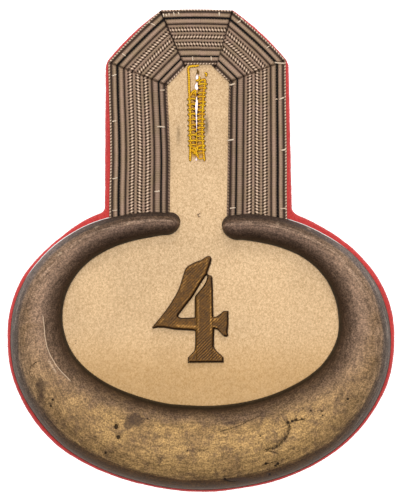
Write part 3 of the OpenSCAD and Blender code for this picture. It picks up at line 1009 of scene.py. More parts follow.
def ring_shares():
    """Shares for the crescent's rings, closer together round the damage at its front."""
    fine = np.linspace(0, 1, 4000)
    weight = 1 + 1.6 * bell((fine - 0.62) / 0.035) + 1.8 * bell((fine - 0.385) / 0.05)
    walked = np.concatenate([[0], np.cumsum((weight[1:] + weight[:-1]) / 2)])
    return np.interp(np.linspace(0, walked[-1], RINGS), walked, fine)


def crescent_sections():
    """Middle, reach, height and power of every ring, from the right tip to the left one."""
    share = ring_shares()
    outer, inner = section_ends(share)
    middle, reach = (outer + inner) / 2, (outer - inner) / 2
    height = mix(TIP_H, FRONT_H, swell(share))
    power = mix(2.0, 2.5, swell(share))
    turn = np.radians(np.linspace(0, 89.4, CAP_RINGS + 1))[1:]
    caps = []
    for end, before in ((0, 1), (-1, -2)):
        onward = middle[end] - middle[before]
        step = onward / np.linalg.norm(onward) * np.linalg.norm(reach[end])
        caps.append((middle[end] + step * np.sin(turn)[:, None],
                     reach[end] * np.cos(turn)[:, None],
                     TIP_H * np.cos(turn) ** 0.55, np.full(CAP_RINGS, 2.0),
                     np.full(CAP_RINGS, share[end])))
    rows = []
    for right, body, left in zip(caps[0], (middle, reach, height, power, share), caps[1]):
        rows.append(np.concatenate([right[::-1], body, left]))
    return rows


# Damage on the crescent, each in pixels of the photograph
HOLES = [
    # x, y, half width, half height
    (116.8, 425.4, 2.0, 2.75), (118.7, 435.8, 2.0, 2.2),
]
PITS = [
    # x, y, radius
    (106.0, 451.5, 1.2), (287.4, 421.3, 1.5), (291.6, 419.9, 1.4), (295.4, 418.5, 1.7),
    (301.4, 417.8, 1.3), (321.4, 410.4, 1.2), (321.6, 414.0, 1.0), (310.2, 409.7, 1.1),
    (260.0, 434.3, 1.1), (265.6, 462.4, 1.5), (277.5, 462.7, 1.6), (275.0, 464.6, 1.2),
    (224.0, 446.6, 1.2), (224.6, 478.0, 1.4), (228.5, 479.8, 1.2), (187.0, 449.5, 1.2),
    (195.0, 447.0, 0.8), (203.5, 448.8, 1.0), (53.6, 398.7, 1.3), (51.7, 405.0, 1.2),
    (158.8, 459.0, 0.9), (347.0, 398.0, 1.3), (269.5, 473.5, 1.3), (147.8, 417.5, 1.0),
]
CRACK = [(289, 424), (288.8, 427), (287.4, 431.5), (284.2, 437.8), (278.9, 443.4), (273.3, 446.9),
         (266, 449)]
BRANCH = [(266, 449), (271.5, 450.0), (276.8, 452.5)]
LINES = [
    # points, half width, depth
    (CRACK, 0.34, 0.30),
    (BRANCH, 0.2, 0.22),
    ([(287, 421.6), (291.5, 420), (296, 418.4), (303, 417.6)], 0.24, 0.16),
    ([(220, 430), (227, 428), (232, 426.5), (240, 424), (247, 420), (254, 417), (259, 415)],
     0.12, 0.08),
    ([(38.9, 360.7), (35.5, 363.0), (31.9, 366.7)], 0.17, 0.12),
    ([(31, 370), (31, 374), (33, 377)], 0.12, 0.10),
    ([(200, 448.5), (208, 447.5)], 0.14, 0.08),
    ([(224, 478), (230, 480.5), (236, 480)], 0.2, 0.14),
    ([(262, 464), (270, 461.5), (281, 459), (289, 456.5)], 0.13, 0.10),
]
CREASE = [(43.8, 316.3), (44.8, 325.5), (45.9, 337.8), (47.9, 346.9), (51.2, 355.1),
          (56.3, 363.8), (61.9, 370.9), (70.6, 379.6)]
CREASE_BESIDE = [(49.7, 360.2), (56.8, 371.4)]
WORN_SPECKS = [(97, 227), (128.5, 223.5), (59, 255), (309, 229), (278, 224), (61, 253)]
WORN_SIZE = 0.907
STAINS = [
    # x, y, half width, half height, strength
    (136, 419, 11, 8, 0.85), (128, 424, 5, 5, 0.9), (149, 431, 9, 4, 0.45), (42, 387, 8, 18, 0.6),
    (52, 402, 5, 8, 0.5), (232, 421, 12, 5, 0.5), (270, 414, 22, 5, 0.45), (200, 450, 20, 5, 0.5),
    (276, 446, 9, 4, 0.6), (240, 479, 24, 4, 0.6), (286, 436, 4, 10, 0.45),
]


def crescent_marks(points):
    """Depth of the damage in millimetres, and what the finish needs to draw each mark.

    hole is the distance outside the nearest hole, gap the distance to the side of the nearest
    line in half widths, lined how much of a line is near, and so on for the crease."""
    shape = points.shape[:-1]
    depth, lined = np.zeros(shape), np.zeros(shape)
    hole, nearest, gap = np.full(shape, 1.5), np.full(shape, 9.0), np.full(shape, 9.0)
    holes = [(*place, 0.5, 0.2) for place in HOLES]
    holes += [(x, y, radius, radius, 0.2 * radius, 0.25) for x, y, radius in PITS]
    for x, y, half_x, half_y, deep, soft in holes:
        away = (away_from(points, x, y, half_x, half_y) - 1) * half_x * PIXEL
        depth += deep * smooth_step(-away, -0.1, soft)
        hole = np.minimum(hole, away)
    for line, half, deep in LINES:
        away, _, side = reach_of(points, seen_line(line))
        depth += deep * smooth_step(-away / half, -1.2, 0.0)
        nearer = away < nearest
        nearest = np.where(nearer, away, nearest)
        gap = np.where(nearer, away * side / half, gap)
        lined = np.where(nearer, 1 - smooth_step(away, 0.4, 0.9), lined)

    # The sheet is pushed in beside the crack, and folded up in a crease on the left.
    depth += 0.25 * bell(distance_to(points, seen_line(CRACK)) / 1.8)
    away, _, side = reach_of(points, seen_line(CREASE))
    beside = distance_to(points, seen_line(CREASE_BESIDE))
    depth -= 0.2 * bell(away / 0.5) + 0.1 * bell(beside / 0.4)
    # A painted highlight along the ridge beside the crease, and worn specks on the arms
    specks = spots_on(points, [(x, y, WORN_SIZE, WORN_SIZE, 1.0) for x, y in WORN_SPECKS])
    highlight_and_wear = np.maximum(0.45 * bell(beside / 0.25), specks)
    return depth, dict(hole=hole, gap=np.clip(gap, -9, 9), lined=lined, highlight_and_wear=highlight_and_wear,
                       stain=spots_on(points, STAINS), fold=np.clip(away * side, -3, 3),
                       folded=1 - smooth_step(away, 0.5, 1.2))


def make_crescent(finish):
    middle, reach, height, power, share = crescent_sections()
    half = np.linalg.norm(reach, axis=1)
    out = reach / half[:, None]
    small = np.clip(half / 2.0, 0.02, 1)
    lip = LIP * small
    arch = np.linspace(0, math.pi, ARCH_POINTS)
    bow = 2 / power[:, None]
    # The foot of the arch lies inside the folded rim, and its crown keeps the full height.
    cosine, sine = np.cos(arch)[None, :], np.sin(arch)[None, :]
    across = signed_power(cosine, bow) * half[:, None]
    across -= lip[:, None] * np.clip(cosine, 0, 1) ** 2
    rise = height[:, None] * np.abs(sine) ** bow
    rise = np.hypot(rise, lip[:, None] * np.clip(cosine, 0, 1))

    def surface(offset, level):
        """Points beside every ring's middle, from their distance to it and their height."""
        return np.dstack([middle[:, None] + out[:, None] * offset[..., None], WORK_Z + level])

    points = surface(across, rise)

    # Uneven pressing, then the damage, both square to the sheet
    along, over = np.gradient(points, axis=0), np.gradient(points, axis=1)
    normal = np.cross(over, along)
    normal /= np.linalg.norm(normal, axis=2)[..., None] + 1e-12
    normal *= np.sign(normal[..., 2].mean())
    body = np.sin(arch)[None, :] ** 0.5 * np.clip(half / 3.0, 0, 1)[:, None]
    wobble = 0.16 * soft_noise(points, 17.0, 11) + 0.06 * soft_noise(points, 6.0, 12)
    wobble += 0.018 * soft_noise(points, 1.3, 13)
    depth, marks = crescent_marks(points)
    crown = smooth_step(np.sin(arch), 0.1, 0.35)[None, :]
    points += normal * ((wobble * body) - depth * crown)[..., None]
    for key in ("lined", "stain", "highlight_and_wear", "folded"):
        marks[key] = marks[key] * crown

    # The rim at the outer foot, and the sheet's underside from the inner foot back
    rim_out, rim_up = (np.outer(small, way) for way in zip(*LIP_ROWS))
    wall = np.minimum(SHEET_T, half * 0.3)
    back = np.linspace(math.pi, 0, UNDER_POINTS)[None, :]
    lining = surface(signed_power(np.cos(back), bow) * (half - wall - lip)[:, None],
                     np.maximum(height - wall * 1.6, 0)[:, None] * np.abs(np.sin(back)) ** bow)
    rings = np.hstack([surface((half - lip)[:, None] + rim_out, rim_up), points, lining])
    count = rings.shape[1]

    def spread(data, rim_value, lining_value):
        sides = ((0, 0), (len(LIP_ROWS), UNDER_POINTS))
        return np.pad(data, sides, constant_values=((0, 0), (rim_value, lining_value))).ravel()

    arc = np.cumsum(np.linalg.norm(np.diff(rings, axis=1, prepend=rings[:, :1]), axis=2), axis=1)
    walked = np.repeat(lengths_along(middle), count)
    sweep = np.stack([walked, arc.ravel(), np.zeros(arc.size)], axis=1) * MM
    arch_share = np.tile(arch / math.pi, (len(half), 1))

    # The rim along both upper shoulders carries a near-white painted highlight, on metal that was also
    # rubbed bright.
    edge = middle + reach
    shoulder = smooth_step(edge[:, 1], -10, -4) * smooth_step(-edge[:, 0], 26, 29)
    shoulder += smooth_step(edge[:, 1], 0, 5) * smooth_step(edge[:, 0], 26, 29)
    rim = np.zeros((len(half), count))
    rim[:, 1:len(LIP_ROWS) + 1] = shoulder[:, None]
    for key, data in marks.items():
        beyond = float(key == "hole")
        marks[key] = spread(data, beyond, beyond)
    make_piece("crescent_shell", rings.reshape(-1, 3), tube_faces(len(half), count), finish,
               "crescent_metal", ["crescent"], arch=spread(arch_share, 0.0, 1.0),
               front=np.repeat(swell(share), count), rim=rim.ravel(), sweep=sweep, **marks)


# The numeral

NUMERAL_PITCH = 0.125
NUMERAL_FLOOR = 0.6
# Its outline and its eye, clockwise, in pixels of the photograph
NUMERAL_OUTLINE = [
    (185.3, 268.7), (187.8, 265.9), (194.0, 262.6), (201.2, 259.9), (205.1, 257.3), (207.4, 256.0),
    (210.0, 256.1), (211.8, 258.4), (211.4, 261.9), (209.7, 266.8), (207.4, 273.4), (208.6, 275.0),
    (211.6, 275.6), (212.5, 277.5), (213.1, 288.3), (213.3, 303.6), (213.6, 316.6), (216.0, 316.8),
    (219.6, 314.3), (223.8, 310.8), (228.6, 310.9), (228.7, 323.5), (227.8, 332.6), (228.6, 335.6),
    (226.6, 337.0), (223.4, 336.2), (220.6, 333.0), (217.7, 330.0), (214.4, 328.9), (214.2, 346.8),
    (216.5, 350.8), (223.6, 357.1), (223.9, 362.5), (188.0, 362.9), (187.8, 357.7), (194.0, 351.2),
    (195.1, 346.8), (195.3, 331.4), (193.4, 330.7), (183.3, 330.3), (174.1, 329.7), (164.1, 327.9),
    (157.6, 327.7), (153.0, 328.7), (152.0, 327.3), (154.9, 323.8), (160.3, 317.3), (165.7, 310.4),
    (171.0, 302.8), (175.6, 295.1), (178.7, 289.0), (181.0, 282.1), (183.3, 274.5),
]
EYE = [
    (206.9, 274.8), (207.2, 277.8), (206.0, 281.4), (203.7, 285.3), (200.5, 289.6), (197.5, 293.1),
    (195.1, 296.0), (194.7, 299.0), (194.6, 317.4), (181.0, 317.8), (178.3, 316.6), (178.9, 314.8),
    (185.9, 305.6), (192.6, 297.2), (196.2, 291.2), (201.2, 283.0), (205.5, 276.4),
]
# The stem stands a little higher between these sides, below the first one's y
STEM_LEFT = (197.0, 297.0)
STEM_RIGHT = 212.0
# Edges with a painted highlight along their bevels: points, half width, strength
HIGHLIT_EDGES = [
    ([(187.6, 269.4), (194.4, 265.6), (202.0, 262.4), (206.0, 260.4)], 0.22, 0.55),
    ([(186.4, 276.0), (184.4, 283.0), (181.4, 291.0)], 0.35, 0.45),
    ([(207.0, 259.6), (206.6, 264.0), (204.6, 270.0), (200.6, 278.0), (195.2, 287.0)], 0.22, 0.75),
    ([(195.2, 287.0), (188.0, 298.0), (180.0, 308.4)], 0.2, 0.4),
    ([(176.0, 325.4), (184.0, 326.2), (196.0, 326.9)], 0.45, 0.95),
    ([(160.0, 322.4), (163.0, 319.4)], 0.4, 0.5),
    ([(198.0, 300.0), (198.2, 331.0)], 0.3, 0.6),
    ([(210.9, 290.0), (211.0, 334.0)], 0.35, 0.75),
    ([(211.9, 280.0), (212.2, 310.0)], 0.2, 0.5),
    ([(214.6, 319.8), (217.4, 319.4)], 0.5, 0.8),
    ([(213.6, 326.6), (216.4, 327.4)], 0.3, 0.9),
    ([(190.6, 357.0), (196.6, 351.0), (197.4, 346.0)], 0.25, 0.5),
    ([(213.4, 350.0), (219.6, 356.6), (221.6, 359.0)], 0.25, 0.5),
    ([(190.4, 360.4), (220.6, 360.2)], 0.2, 0.3),
]


def make_numeral(finish):
    walls = [(0.0, NUMERAL_FLOOR), (0.0, 0.3), (0.0, -0.1)]
    outline, eye = (spaced(seen_line(line), 0.16, closed=True) for line in (NUMERAL_OUTLINE, EYE))
    points, faces = cloth_solid(outline, eye, walls, walls, NUMERAL_PITCH,
                                lambda p: WORK_Z + 0 * p[:, 0])
    top = points[:, 2] > WORK_Z + NUMERAL_FLOOR - 0.01

    # Its sides slope: steeply at the upper left, and wide at the lower right, where their painted shade
    # is widest.
    away, way, _ = reach_of(points, looped(outline))
    eye_away, eye_way, _ = reach_of(points, looped(eye))
    nearer = eye_away < away
    away = np.where(nearer, eye_away, away)
    way = np.where(nearer[:, None], eye_way, way)
    lower_right = (way @ np.array([-0.6, 0.8])) / np.maximum(away, 1e-6)
    slope = mix(0.24, 0.82, smooth_step(lower_right, -0.1, 0.8))
    slope = np.where(nearer, np.maximum(slope, 0.4), slope)
    rise = np.clip(away / slope, 0, 1)
    height = mix(NUMERAL_FLOOR, NUMERAL_T, dome(1 - rise))
    (stem_left, eye_foot), (stem_right, _) = seen(*STEM_LEFT), seen(STEM_RIGHT, 0)
    stem = smooth_step(points[:, 0], stem_left - 0.25, stem_left + 0.1)
    height += 0.16 * stem * (points[:, 1] < eye_foot) * (points[:, 0] < stem_right) * rise
    shine = np.zeros(len(points))
    for line, half, strength in HIGHLIT_EDGES:
        near = bell(distance_to(points, seen_line(line)) / half)
        shine = np.maximum(shine, strength * near)
    height += 0.1 * shine * rise + 0.04 * soft_noise(points, 1.8, 33) * rise
    points[top, 2] = WORK_Z + height[top]
    # side is the painted shade: full on the walls, and fading out up each slope towards the face
    side = np.where(top, 1 - smooth_step(away / slope, 0.6, 1.0), 1.0)
    face = smooth_step(away - slope, 0.0, 0.3)
    # The hatching is cut deepest at the foot and low on the stem.
    make_piece("numeral_cast", points, faces, finish, "numeral_metal", ["numeral"], side=side,
               face=face, cut=stem * smooth_step(-points[:, 1], 24, 30), shine=shine * (1 - side))


# The lace

HALF_WIDTH = 9.39
TWIST_PITCH = 0.95
RIB_PITCH = 0.7
ALONG_STEP = TWIST_PITCH / 8
LACE_FOLDS = [
    # outer x, outer drop, inner x, inner drop; x from the strap's middle, drop from its head
    (-27.4, 67.0, -8.5, 67.0),
    (-27.75, 16.3, -9.35, 23.5),
    (-11.35, 0.1, -4.2, 17.0),
    (10.8, 0.1, 6.3, 17.0),
    (27.6, 15.65, 9.9, 22.5),
    (28.0, 67.0, 9.2, 67.0),
]
# The ribbon's bands from its edge to its middle: distance of the far edge from the middle,
# height over the cloth, kind
BANDS = [
    (8.85, 0.90, "bead"),
    (8.25, 0.45, "groove"),
    (6.98, 1.02, "rib"),
    (6.26, 0.80, "silk"),
    (4.74, 1.06, "rib"),
    (4.22, 0.50, "groove"),
    (3.22, 1.00, "plain"),
    (1.69, 1.00, "twist"),
    (0.76, 0.95, "link"),
    (0.00, 1.00, "twist"),
]
COLUMNS = {"bead": 5, "groove": 3, "rib": 4, "silk": 4, "plain": 3, "link": 4, "twist": 11}
ROW_MIDDLE, ROW_HALF = 2.455, 0.765
ROW_LEAN = 0.3
# How far the lace reaches in under the crescent, how far a foot is kept from rolling down, and
# how near to a fold the rolling starts
LACE_HIDDEN = 0.3
FOOT_KEPT = 1.6
FOLD_ROLL = 0.55
# How far up a slope's tucked corner goes under the head. How far aside is said for each slope.
TUCK_UP = 0.4


def lace_columns():
    """Places across the ribbon, as shares from its outer to its inner edge."""
    half = np.array([HALF_WIDTH])
    for far, _, kind in BANDS:
        half = np.append(half, np.linspace(half[-1], far, COLUMNS[kind] + 1)[1:])
    across = np.concatenate([-half, half[::-1][1:]])
    return (across / HALF_WIDTH + 1) / 2


def lace_pattern(across, along):
    """Height in millimetres, tone and silk of the weave at places on the ribbon."""
    away = np.abs(across)
    height, tone, silk = np.zeros((3, *away.shape))
    near = HALF_WIDTH + 0.01
    twist = along / TWIST_PITCH
    rib = 0.5 + 0.5 * np.cos(2 * math.pi * along / RIB_PITCH)
    for far, level, kind in BANDS:
        band = (away >= far) & (away < near)
        middle, half = (far + near) / 2, (near - far) / 2
        bow = dome((away - middle) / (half * 1.08))
        phase = twist + 0.15 * (away - middle) / half
        lump = dome(2 * (phase - np.round(phase)) / 0.9)
        if kind == "bead":
            high, shade = level * (0.55 + 0.45 * bow * lump), 0.04 + 0.96 * lump * bow ** 0.6
        elif kind == "silk":
            high, shade = level * (0.72 + 0.28 * bow * lump), 0.2
            silk[band] = smooth_step(bow - 0.25 * (1 - lump), 0.10, 0.32)[band]
        elif kind == "rib":
            high, shade = level * (0.86 + 0.08 * bow + 0.05 * rib), 0.40 + 0.13 * rib
        elif kind == "plain":
            high, shade = level * (0.80 + 0.14 * bow + 0.06 * rib), 0.44 + 0.14 * rib
        elif kind == "link":
            # Short threads that cross from one row of lumps to the next
            over = 0.5 - 0.5 * np.cos(2 * math.pi * twist)
            high = level * (0.8 + 0.15 * bow * over)
            shade = 0.06 + smooth_step(bow, 0.45, 0.9) * (0.38 + 0.12 * over)
        elif kind == "groove":
            high, shade = level * (1.3 - 0.3 * bow), 0.30 - 0.28 * bow
        else:
            # Slanted lumps of thread with thin gaps, one way at the sides and back between
            place, lean = across / ROW_HALF, -ROW_LEAN
            if far:
                place, lean = (across - np.sign(across) * ROW_MIDDLE) / ROW_HALF, ROW_LEAN
            phase = twist - lean * place
            beside = 2 * np.abs(phase - np.round(phase))
            body = np.clip(1 - 0.9 * np.abs(place) ** 2.4 - 1.25 * beside ** 1.9, 0, 1)
            high = level * (0.62 + 0.46 * np.sqrt(body))
            # Each lump carries a painted highlight at its middle, and each gap painted shade, darkest at
            # its two ends.
            end = np.abs(place)
            lit = (0.52 + 0.42 * bell(end / 0.55)) * (1 - 0.2 * smooth_step(end, 0.7, 1.0))
            sunk = 0.36 * (1 - smooth_step(end, 0.1, 0.5))
            narrow = mix(0.6, 0.3, smooth_step(end, 0.2, 0.8))
            shade = mix(lit, sunk, smooth_step(beside, narrow, narrow + 0.3))
        height = np.where(band, high, height)
        tone = np.where(band, shade, tone)
        near = far
    return height, tone, silk


def run_faces(numbers, low, high):
    """A run's faces, and the numbers of its edge points in order round it.

    Each row of numbers lies along the ribbon. Before low and past high a row repeats its end
    point, so the quads there are squeezed: to triangles, which stay, or to nothing."""
    quads = np.stack([numbers[:-1, :-1], numbers[1:, :-1], numbers[1:, 1:], numbers[:-1, 1:]],
                     axis=-1).reshape(-1, 4)
    faces = []
    for quad in quads.tolist():
        kept = [corner for i, corner in enumerate(quad) if corner != quad[i - 1]]
        if len(kept) > 2 and len(set(kept)) == len(kept):
            faces.append(kept)
    last = len(numbers) - 1
    edge = list(numbers[0, low[0]:high[0] + 1])
    edge += [numbers[i, high[i]] for i in range(1, last)]
    edge += list(numbers[last, low[last]:high[last] + 1])[::-1]
    edge += [numbers[i, low[i]] for i in range(last - 1, 0, -1)]
    return faces, edge


def lace_run(number, name, finish, lifted=0.0, bulge=0.0, sway=0.0, tuck=0.0):
    """One run of the ribbon between two folds, cut square to its weave and mitred.

    A tuck takes a slope's inner corner on, to where it lies under the head."""
    ends = [np.array([[STRAP_SHIFT + outer_x, HEAD_Y - outer_drop],
                      [STRAP_SHIFT + inner_x, HEAD_Y - inner_drop]])
            for outer_x, outer_drop, inner_x, inner_drop in LACE_FOLDS[number:number + 2]]
    foot = [number == 0, number == len(LACE_FOLDS) - 2]
    tucked = np.array([tuck, TUCK_UP * (tuck != 0)])
    ends[number == 1][1] += tucked
    along = unit(ends[1].mean(axis=0) - ends[0].mean(axis=0))
    outward = np.array([-along[1], along[0]])
    columns = lace_columns()
    starts, finishes = (mix(*end, columns[:, None]) for end in ends)
    for end, is_foot in zip((starts, finishes), foot):
        if is_foot:
            end[:, 1] = crescent_top(end[:, 0]) - LACE_HIDDEN
    first, last = starts @ along, finishes @ along
    origin = min(first.min(), last.min())
    steps = np.arange(0, max(first.max(), last.max()) - origin + ALONG_STEP, ALONG_STEP) + origin
    low = np.searchsorted(steps, first, "right") - 1
    high = np.searchsorted(steps, last, "left")
    index = np.clip(np.arange(len(steps))[None, :], low[:, None], high[:, None])
    walk = np.clip(steps[None, :], first[:, None], last[:, None])
    share = (walk - first[:, None]) / (last - first)[:, None]
    flat = mix(starts[:, None], finishes[:, None], share[..., None])
    flat += outward * (4 * bulge * share * (1 - share) * (1 - columns[:, None]))[..., None]
    flat -= outward * (sway * np.sin(math.pi * share) ** 2)[..., None]
    width = (2 * columns - 1)[:, None] * HALF_WIDTH + np.zeros(walk.shape)
    height, tone, silk = lace_pattern(width, walk - origin)
    if any(foot):
        # The inner ribs of both sides are darker.
        tone *= np.where(width > BANDS[4][0], 0.72, 1.0)

    # The ribbon rolls down into its folds, and strays a little.
    gap = np.minimum(walk - first[:, None] + FOOT_KEPT * foot[0],
                     last[:, None] - walk + FOOT_KEPT * foot[1])
    rolled = smooth_step(gap, 0.0, FOLD_ROLL)
    height = height * mix(0.45 + 0.3 * (lifted > 0), 1.0, rolled) + lifted
    if tuck:
        # Both slopes go under the head, and are painted dark beside it as the head's shadow.
        under = last[:, None] - walk if number == 1 else walk - first[:, None]
        under = under - abs(tucked @ along) * columns[:, None]
        height *= mix(0.3, 1.0, smooth_step(under, -0.2, 0.3))
        tone *= mix(0.05, 1.0, smooth_step(under, 0.2, 1.0))
    shadow = mix(0.3, 1.2, smooth_step(columns, 0.93, 1.0))[:, None]
    tone = tone * mix(0.2, 1.0, smooth_step(gap / shadow, 0.0, 1.0))
    height += 0.05 * soft_noise(flat, 6.0, 40 + number)
    flat += outward * (0.05 * soft_noise(flat, 9.0, 50 + number))[..., None]
    points = np.dstack([flat, FIELD_TOP + 0.05 + height])

    # Its cut sides go down to the cloth, and a flat underside closes it.
    faces, edge = run_faces(np.arange(len(columns))[:, None] * len(steps) + index, low, high)
    points = points.reshape(-1, 3)
    skirt = points[edge]
    skirt[:, 2] = FIELD_TOP - 0.02
    ring = list(range(len(points), len(points) + len(edge)))
    faces += [[edge[i], edge[i - 1], ring[i - 1], ring[i]] for i in range(len(edge))] + [ring]
    points = np.vstack([points, skirt])
    tone = np.append(tone, np.full(len(edge), 0.1))
    silk = np.append(silk, np.zeros(len(edge)))

    # Points that no face uses are left out.
    used = np.unique(np.concatenate(faces))
    new_number = np.full(len(points), -1)
    new_number[used] = np.arange(len(used))
    faces = [new_number[face].tolist() for face in faces]
    return make_piece(name + "_weave", points[used], faces, finish, "silver_lace", [name],
                      tone=tone[used], silk=silk[used])


def make_lace(finish):
    lace_run(0, "lace_side_left", finish, sway=0.45)
    lace_run(1, "lace_slope_left", finish, bulge=0.35, tuck=1.6)
    lace_run(2, "lace_head", finish, lifted=0.22, bulge=0.3)
    lace_run(3, "lace_slope_right", finish, bulge=0.45, tuck=-2.5)
    lace_run(4, "lace_side_right", finish)


# Tack stitches over the lace, from end to end, in pixels of the photograph
TACKS = [
    ((112.3, 75.8), (116.4, 74.6)), ((112.5, 121.8), (116.4, 121.0)), ((112.6, 178.9), (117.6, 177.6)),
    ((112.6, 210.8), (117.4, 210.2)), ((160.0, 90.6), (164.8, 90.2)), ((157.2, 126.8), (165.0, 127.2)),
    ((154.6, 191.6), (159.8, 191.0)), ((162.9, 13.6), (163.6, 17.0)), ((166.0, 14.2), (166.5, 16.6)),
    ((169.0, 13.2), (169.5, 16.6)), ((173.8, 12.2), (174.4, 16.0)), ((178.2, 12.2), (179.2, 15.8)),
    ((183.6, 10.2), (185.2, 10.6)), ((219.2, 12.4), (219.6, 16.0)), ((148.2, 22.0), (149.4, 23.2)),
    ((151.0, 23.6), (155.2, 25.6)), ((122.2, 53.6), (125.4, 56.0)), ((237.0, 22.8), (240.4, 20.8)),
    ((241.0, 18.8), (242.0, 19.8)), ((266.4, 48.6), (269.2, 46.4)), ((274.8, 99.8), (277.6, 99.4)),
    ((279.2, 99.8), (284.0, 97.4)), ((281.0, 150.4), (285.6, 149.6)),
    ((280.2, 209.0), (286.0, 208.4)), ((228.4, 85.2), (235.0, 83.6)), ((227.4, 140.6), (233.8, 139.6)),
    ((229.8, 208.4), (235.2, 207.6)), ((192.4, 56.6), (192.8, 61.0)), ((211.0, 56.6), (211.4, 60.4)),
    ((274.8, 62.6), (283.8, 63.4)),
]


# Where a tack stitch enters the lace, and how far it arches over it
TACK_Z = FIELD_TOP + 0.75
TACK_RISE = 0.62


def make_tacks(finish):
    bundle = Bundle()
    chance = np.random.default_rng(71)
    for start, end in TACKS:
        start, end = seen(*start), seen(*end)
        share = np.linspace(0, 1, max(8, int(np.linalg.norm(end - start) / 0.12)))[:, None]
        arch = 4 * share * (1 - share)
        along = unit(end - start)
        aside = np.array([-along[1], along[0]]) * chance.uniform(-0.12, 0.12) * arch
        line = np.hstack([mix(start, end, share) + aside, TACK_Z + TACK_RISE * arch ** 0.45])
        add_thread(bundle, line, chance.uniform(0.18, 0.26), 1.1)
    bundle.make("lace_tacks", finish, "silver_lace")


# The buttonhole

THREAD_Z = FIELD_TOP + 0.1
# Cords that follow their own way, as (x, y, height) in pixels of the photograph and millimetres
RAIL_LEFT = [(199.0, 65.4, 0.2), (196.0, 65.9, 0.4), (192.5, 66.1, 0.45), (189.2, 67.0, 0.45),
             (188.3, 69.5, 0.45), (188.8, 75.0, 0.45), (189.1, 85.0, 0.42), (189.4, 95.0, 0.45),
             (189.8, 105.0, 0.45), (190.2, 115.0, 0.45), (190.3, 125.0, 0.45), (190.4, 135.0, 0.45),
             (190.5, 145.0, 0.45), (190.3, 153.0, 0.4), (190.2, 161.3, 0.15)]
RAIL_RIGHT = [(202.2, 80.6, 0.3), (204.6, 79.6, 0.5), (205.2, 82.0, 0.5), (204.6, 86.5, 0.45),
              (203.9, 91.5, 0.45), (203.4, 97.0, 0.45), (203.4, 103.0, 0.45), (202.9, 109.0, 0.45),
              (202.6, 117.0, 0.45), (202.4, 125.0, 0.45), (202.4, 133.0, 0.45), (202.8, 141.0, 0.45),
              (203.4, 149.0, 0.45), (204.0, 156.0, 0.42), (204.9, 161.0, 0.15)]
LOOPS = [
    # radius, then the way
    (0.40, [(195.8, 90.2, 0.2), (193.4, 91.2, 0.55), (191.6, 93.4, 0.55), (190.2, 96.6, 0.4)]),
    (0.36, [(196.9, 90.6, 0.2), (195.4, 92.0, 0.7), (195.6, 94.4, 0.5), (195.2, 96.4, 0.2)]),
    (0.30, [(194.4, 90.6, 0.3), (194.2, 93.2, 0.6), (192.6, 94.6, 0.3)]),
    (0.40, [(199.0, 76.4, 0.1), (199.6, 78.8, 0.4), (198.2, 80.6, 0.6), (195.8, 80.4, 0.2)]),
    (0.34, [(197.0, 79.4, 0.3), (199.2, 81.6, 0.6), (199.8, 83.4, 0.3)]),
    (0.40, [(199.6, 82.0, 0.15), (201.4, 80.2, 0.5), (203.8, 79.4, 0.5), (206.2, 80.2, 0.2)]),
    (0.38, [(204.6, 73.0, 0.15), (206.4, 73.6, 0.5), (206.6, 75.6, 0.4), (205.0, 75.4, 0.2)]),
    (0.30, [(190.0, 151.5, 0.3), (193.0, 149.4, 0.75), (197.2, 147.0, 0.8), (201.0, 146.2, 0.3)]),
    (0.32, [(191.0, 146.6, 0.3), (193.8, 147.8, 0.8), (196.6, 150.6, 0.95), (197.8, 153.2, 0.4)]),
    (0.30, [(191.2, 149.8, 0.3), (194.6, 151.2, 0.9), (197.4, 148.8, 0.9), (198.6, 145.4, 0.3)]),
    (0.28, [(192.2, 152.4, 0.2), (195.0, 153.8, 0.7), (197.6, 156.8, 0.7), (199.8, 158.8, 0.6),
            (202.6, 158.2, 0.6), (205.6, 157.0, 0.3)]),
    (0.26, [(197.2, 153.4, 0.5), (200.4, 153.0, 0.6), (204.4, 152.8, 0.4)]),
    (0.24, [(191.0, 152.4, 0.3), (190.6, 157.0, 0.5), (189.6, 161.0, 0.15)]),
    (0.40, [(192.6, 147.6, 0.3), (195.4, 149.0, 1.0), (196.6, 152.4, 1.0), (195.0, 154.4, 0.3)]),
    (0.44, [(191.8, 150.4, 0.3), (194.4, 152.0, 0.8), (197.0, 154.4, 0.8), (198.6, 157.2, 0.4)]),
    (0.40, [(197.6, 147.2, 0.3), (197.0, 150.0, 1.0), (195.4, 152.8, 0.9), (192.8, 153.6, 0.3)]),
]
# The cord that closes the cut below
CLOSING = [(196.9, 131.4, 0.0), (196.6, 134.0, 0.25), (196.8, 138.5, 0.25), (196.6, 143.0, 0.3),
           (196.3, 147.4, 0.3)]
# Frayed dark threads over the buttonhole's upper end
FRAYED = [
    [(196.9, 69.2, 0.05), (197.6, 70.8, 0.2), (197.2, 72.4, 0.1)],
    [(197.8, 70.4, 0.05), (198.6, 72.4, 0.2), (198.9, 74.6, 0.05)],
    [(196.3, 73.6, 0.05), (197.6, 72.6, 0.2), (199.2, 72.0, 0.05)],
]
# Where the stitches of each side begin and end, and their pitch
LEFT_RUNGS = (99.0, 147.0, 5.15)
RIGHT_RUNGS = (83.4, 152.0, 4.4)


def thread_line(way, step=0.1):
    """A cord's way over the cloth as a smooth line in millimetres."""
    return curve_through([(*seen(x, y), THREAD_Z + z) for x, y, z in way], step)


def sew(bundle, way, radius, pitch=1.0, step=0.1, **more):
    """A thread that follows a way over the cloth."""
    add_thread(bundle, thread_line(way, step), radius, pitch, **more)


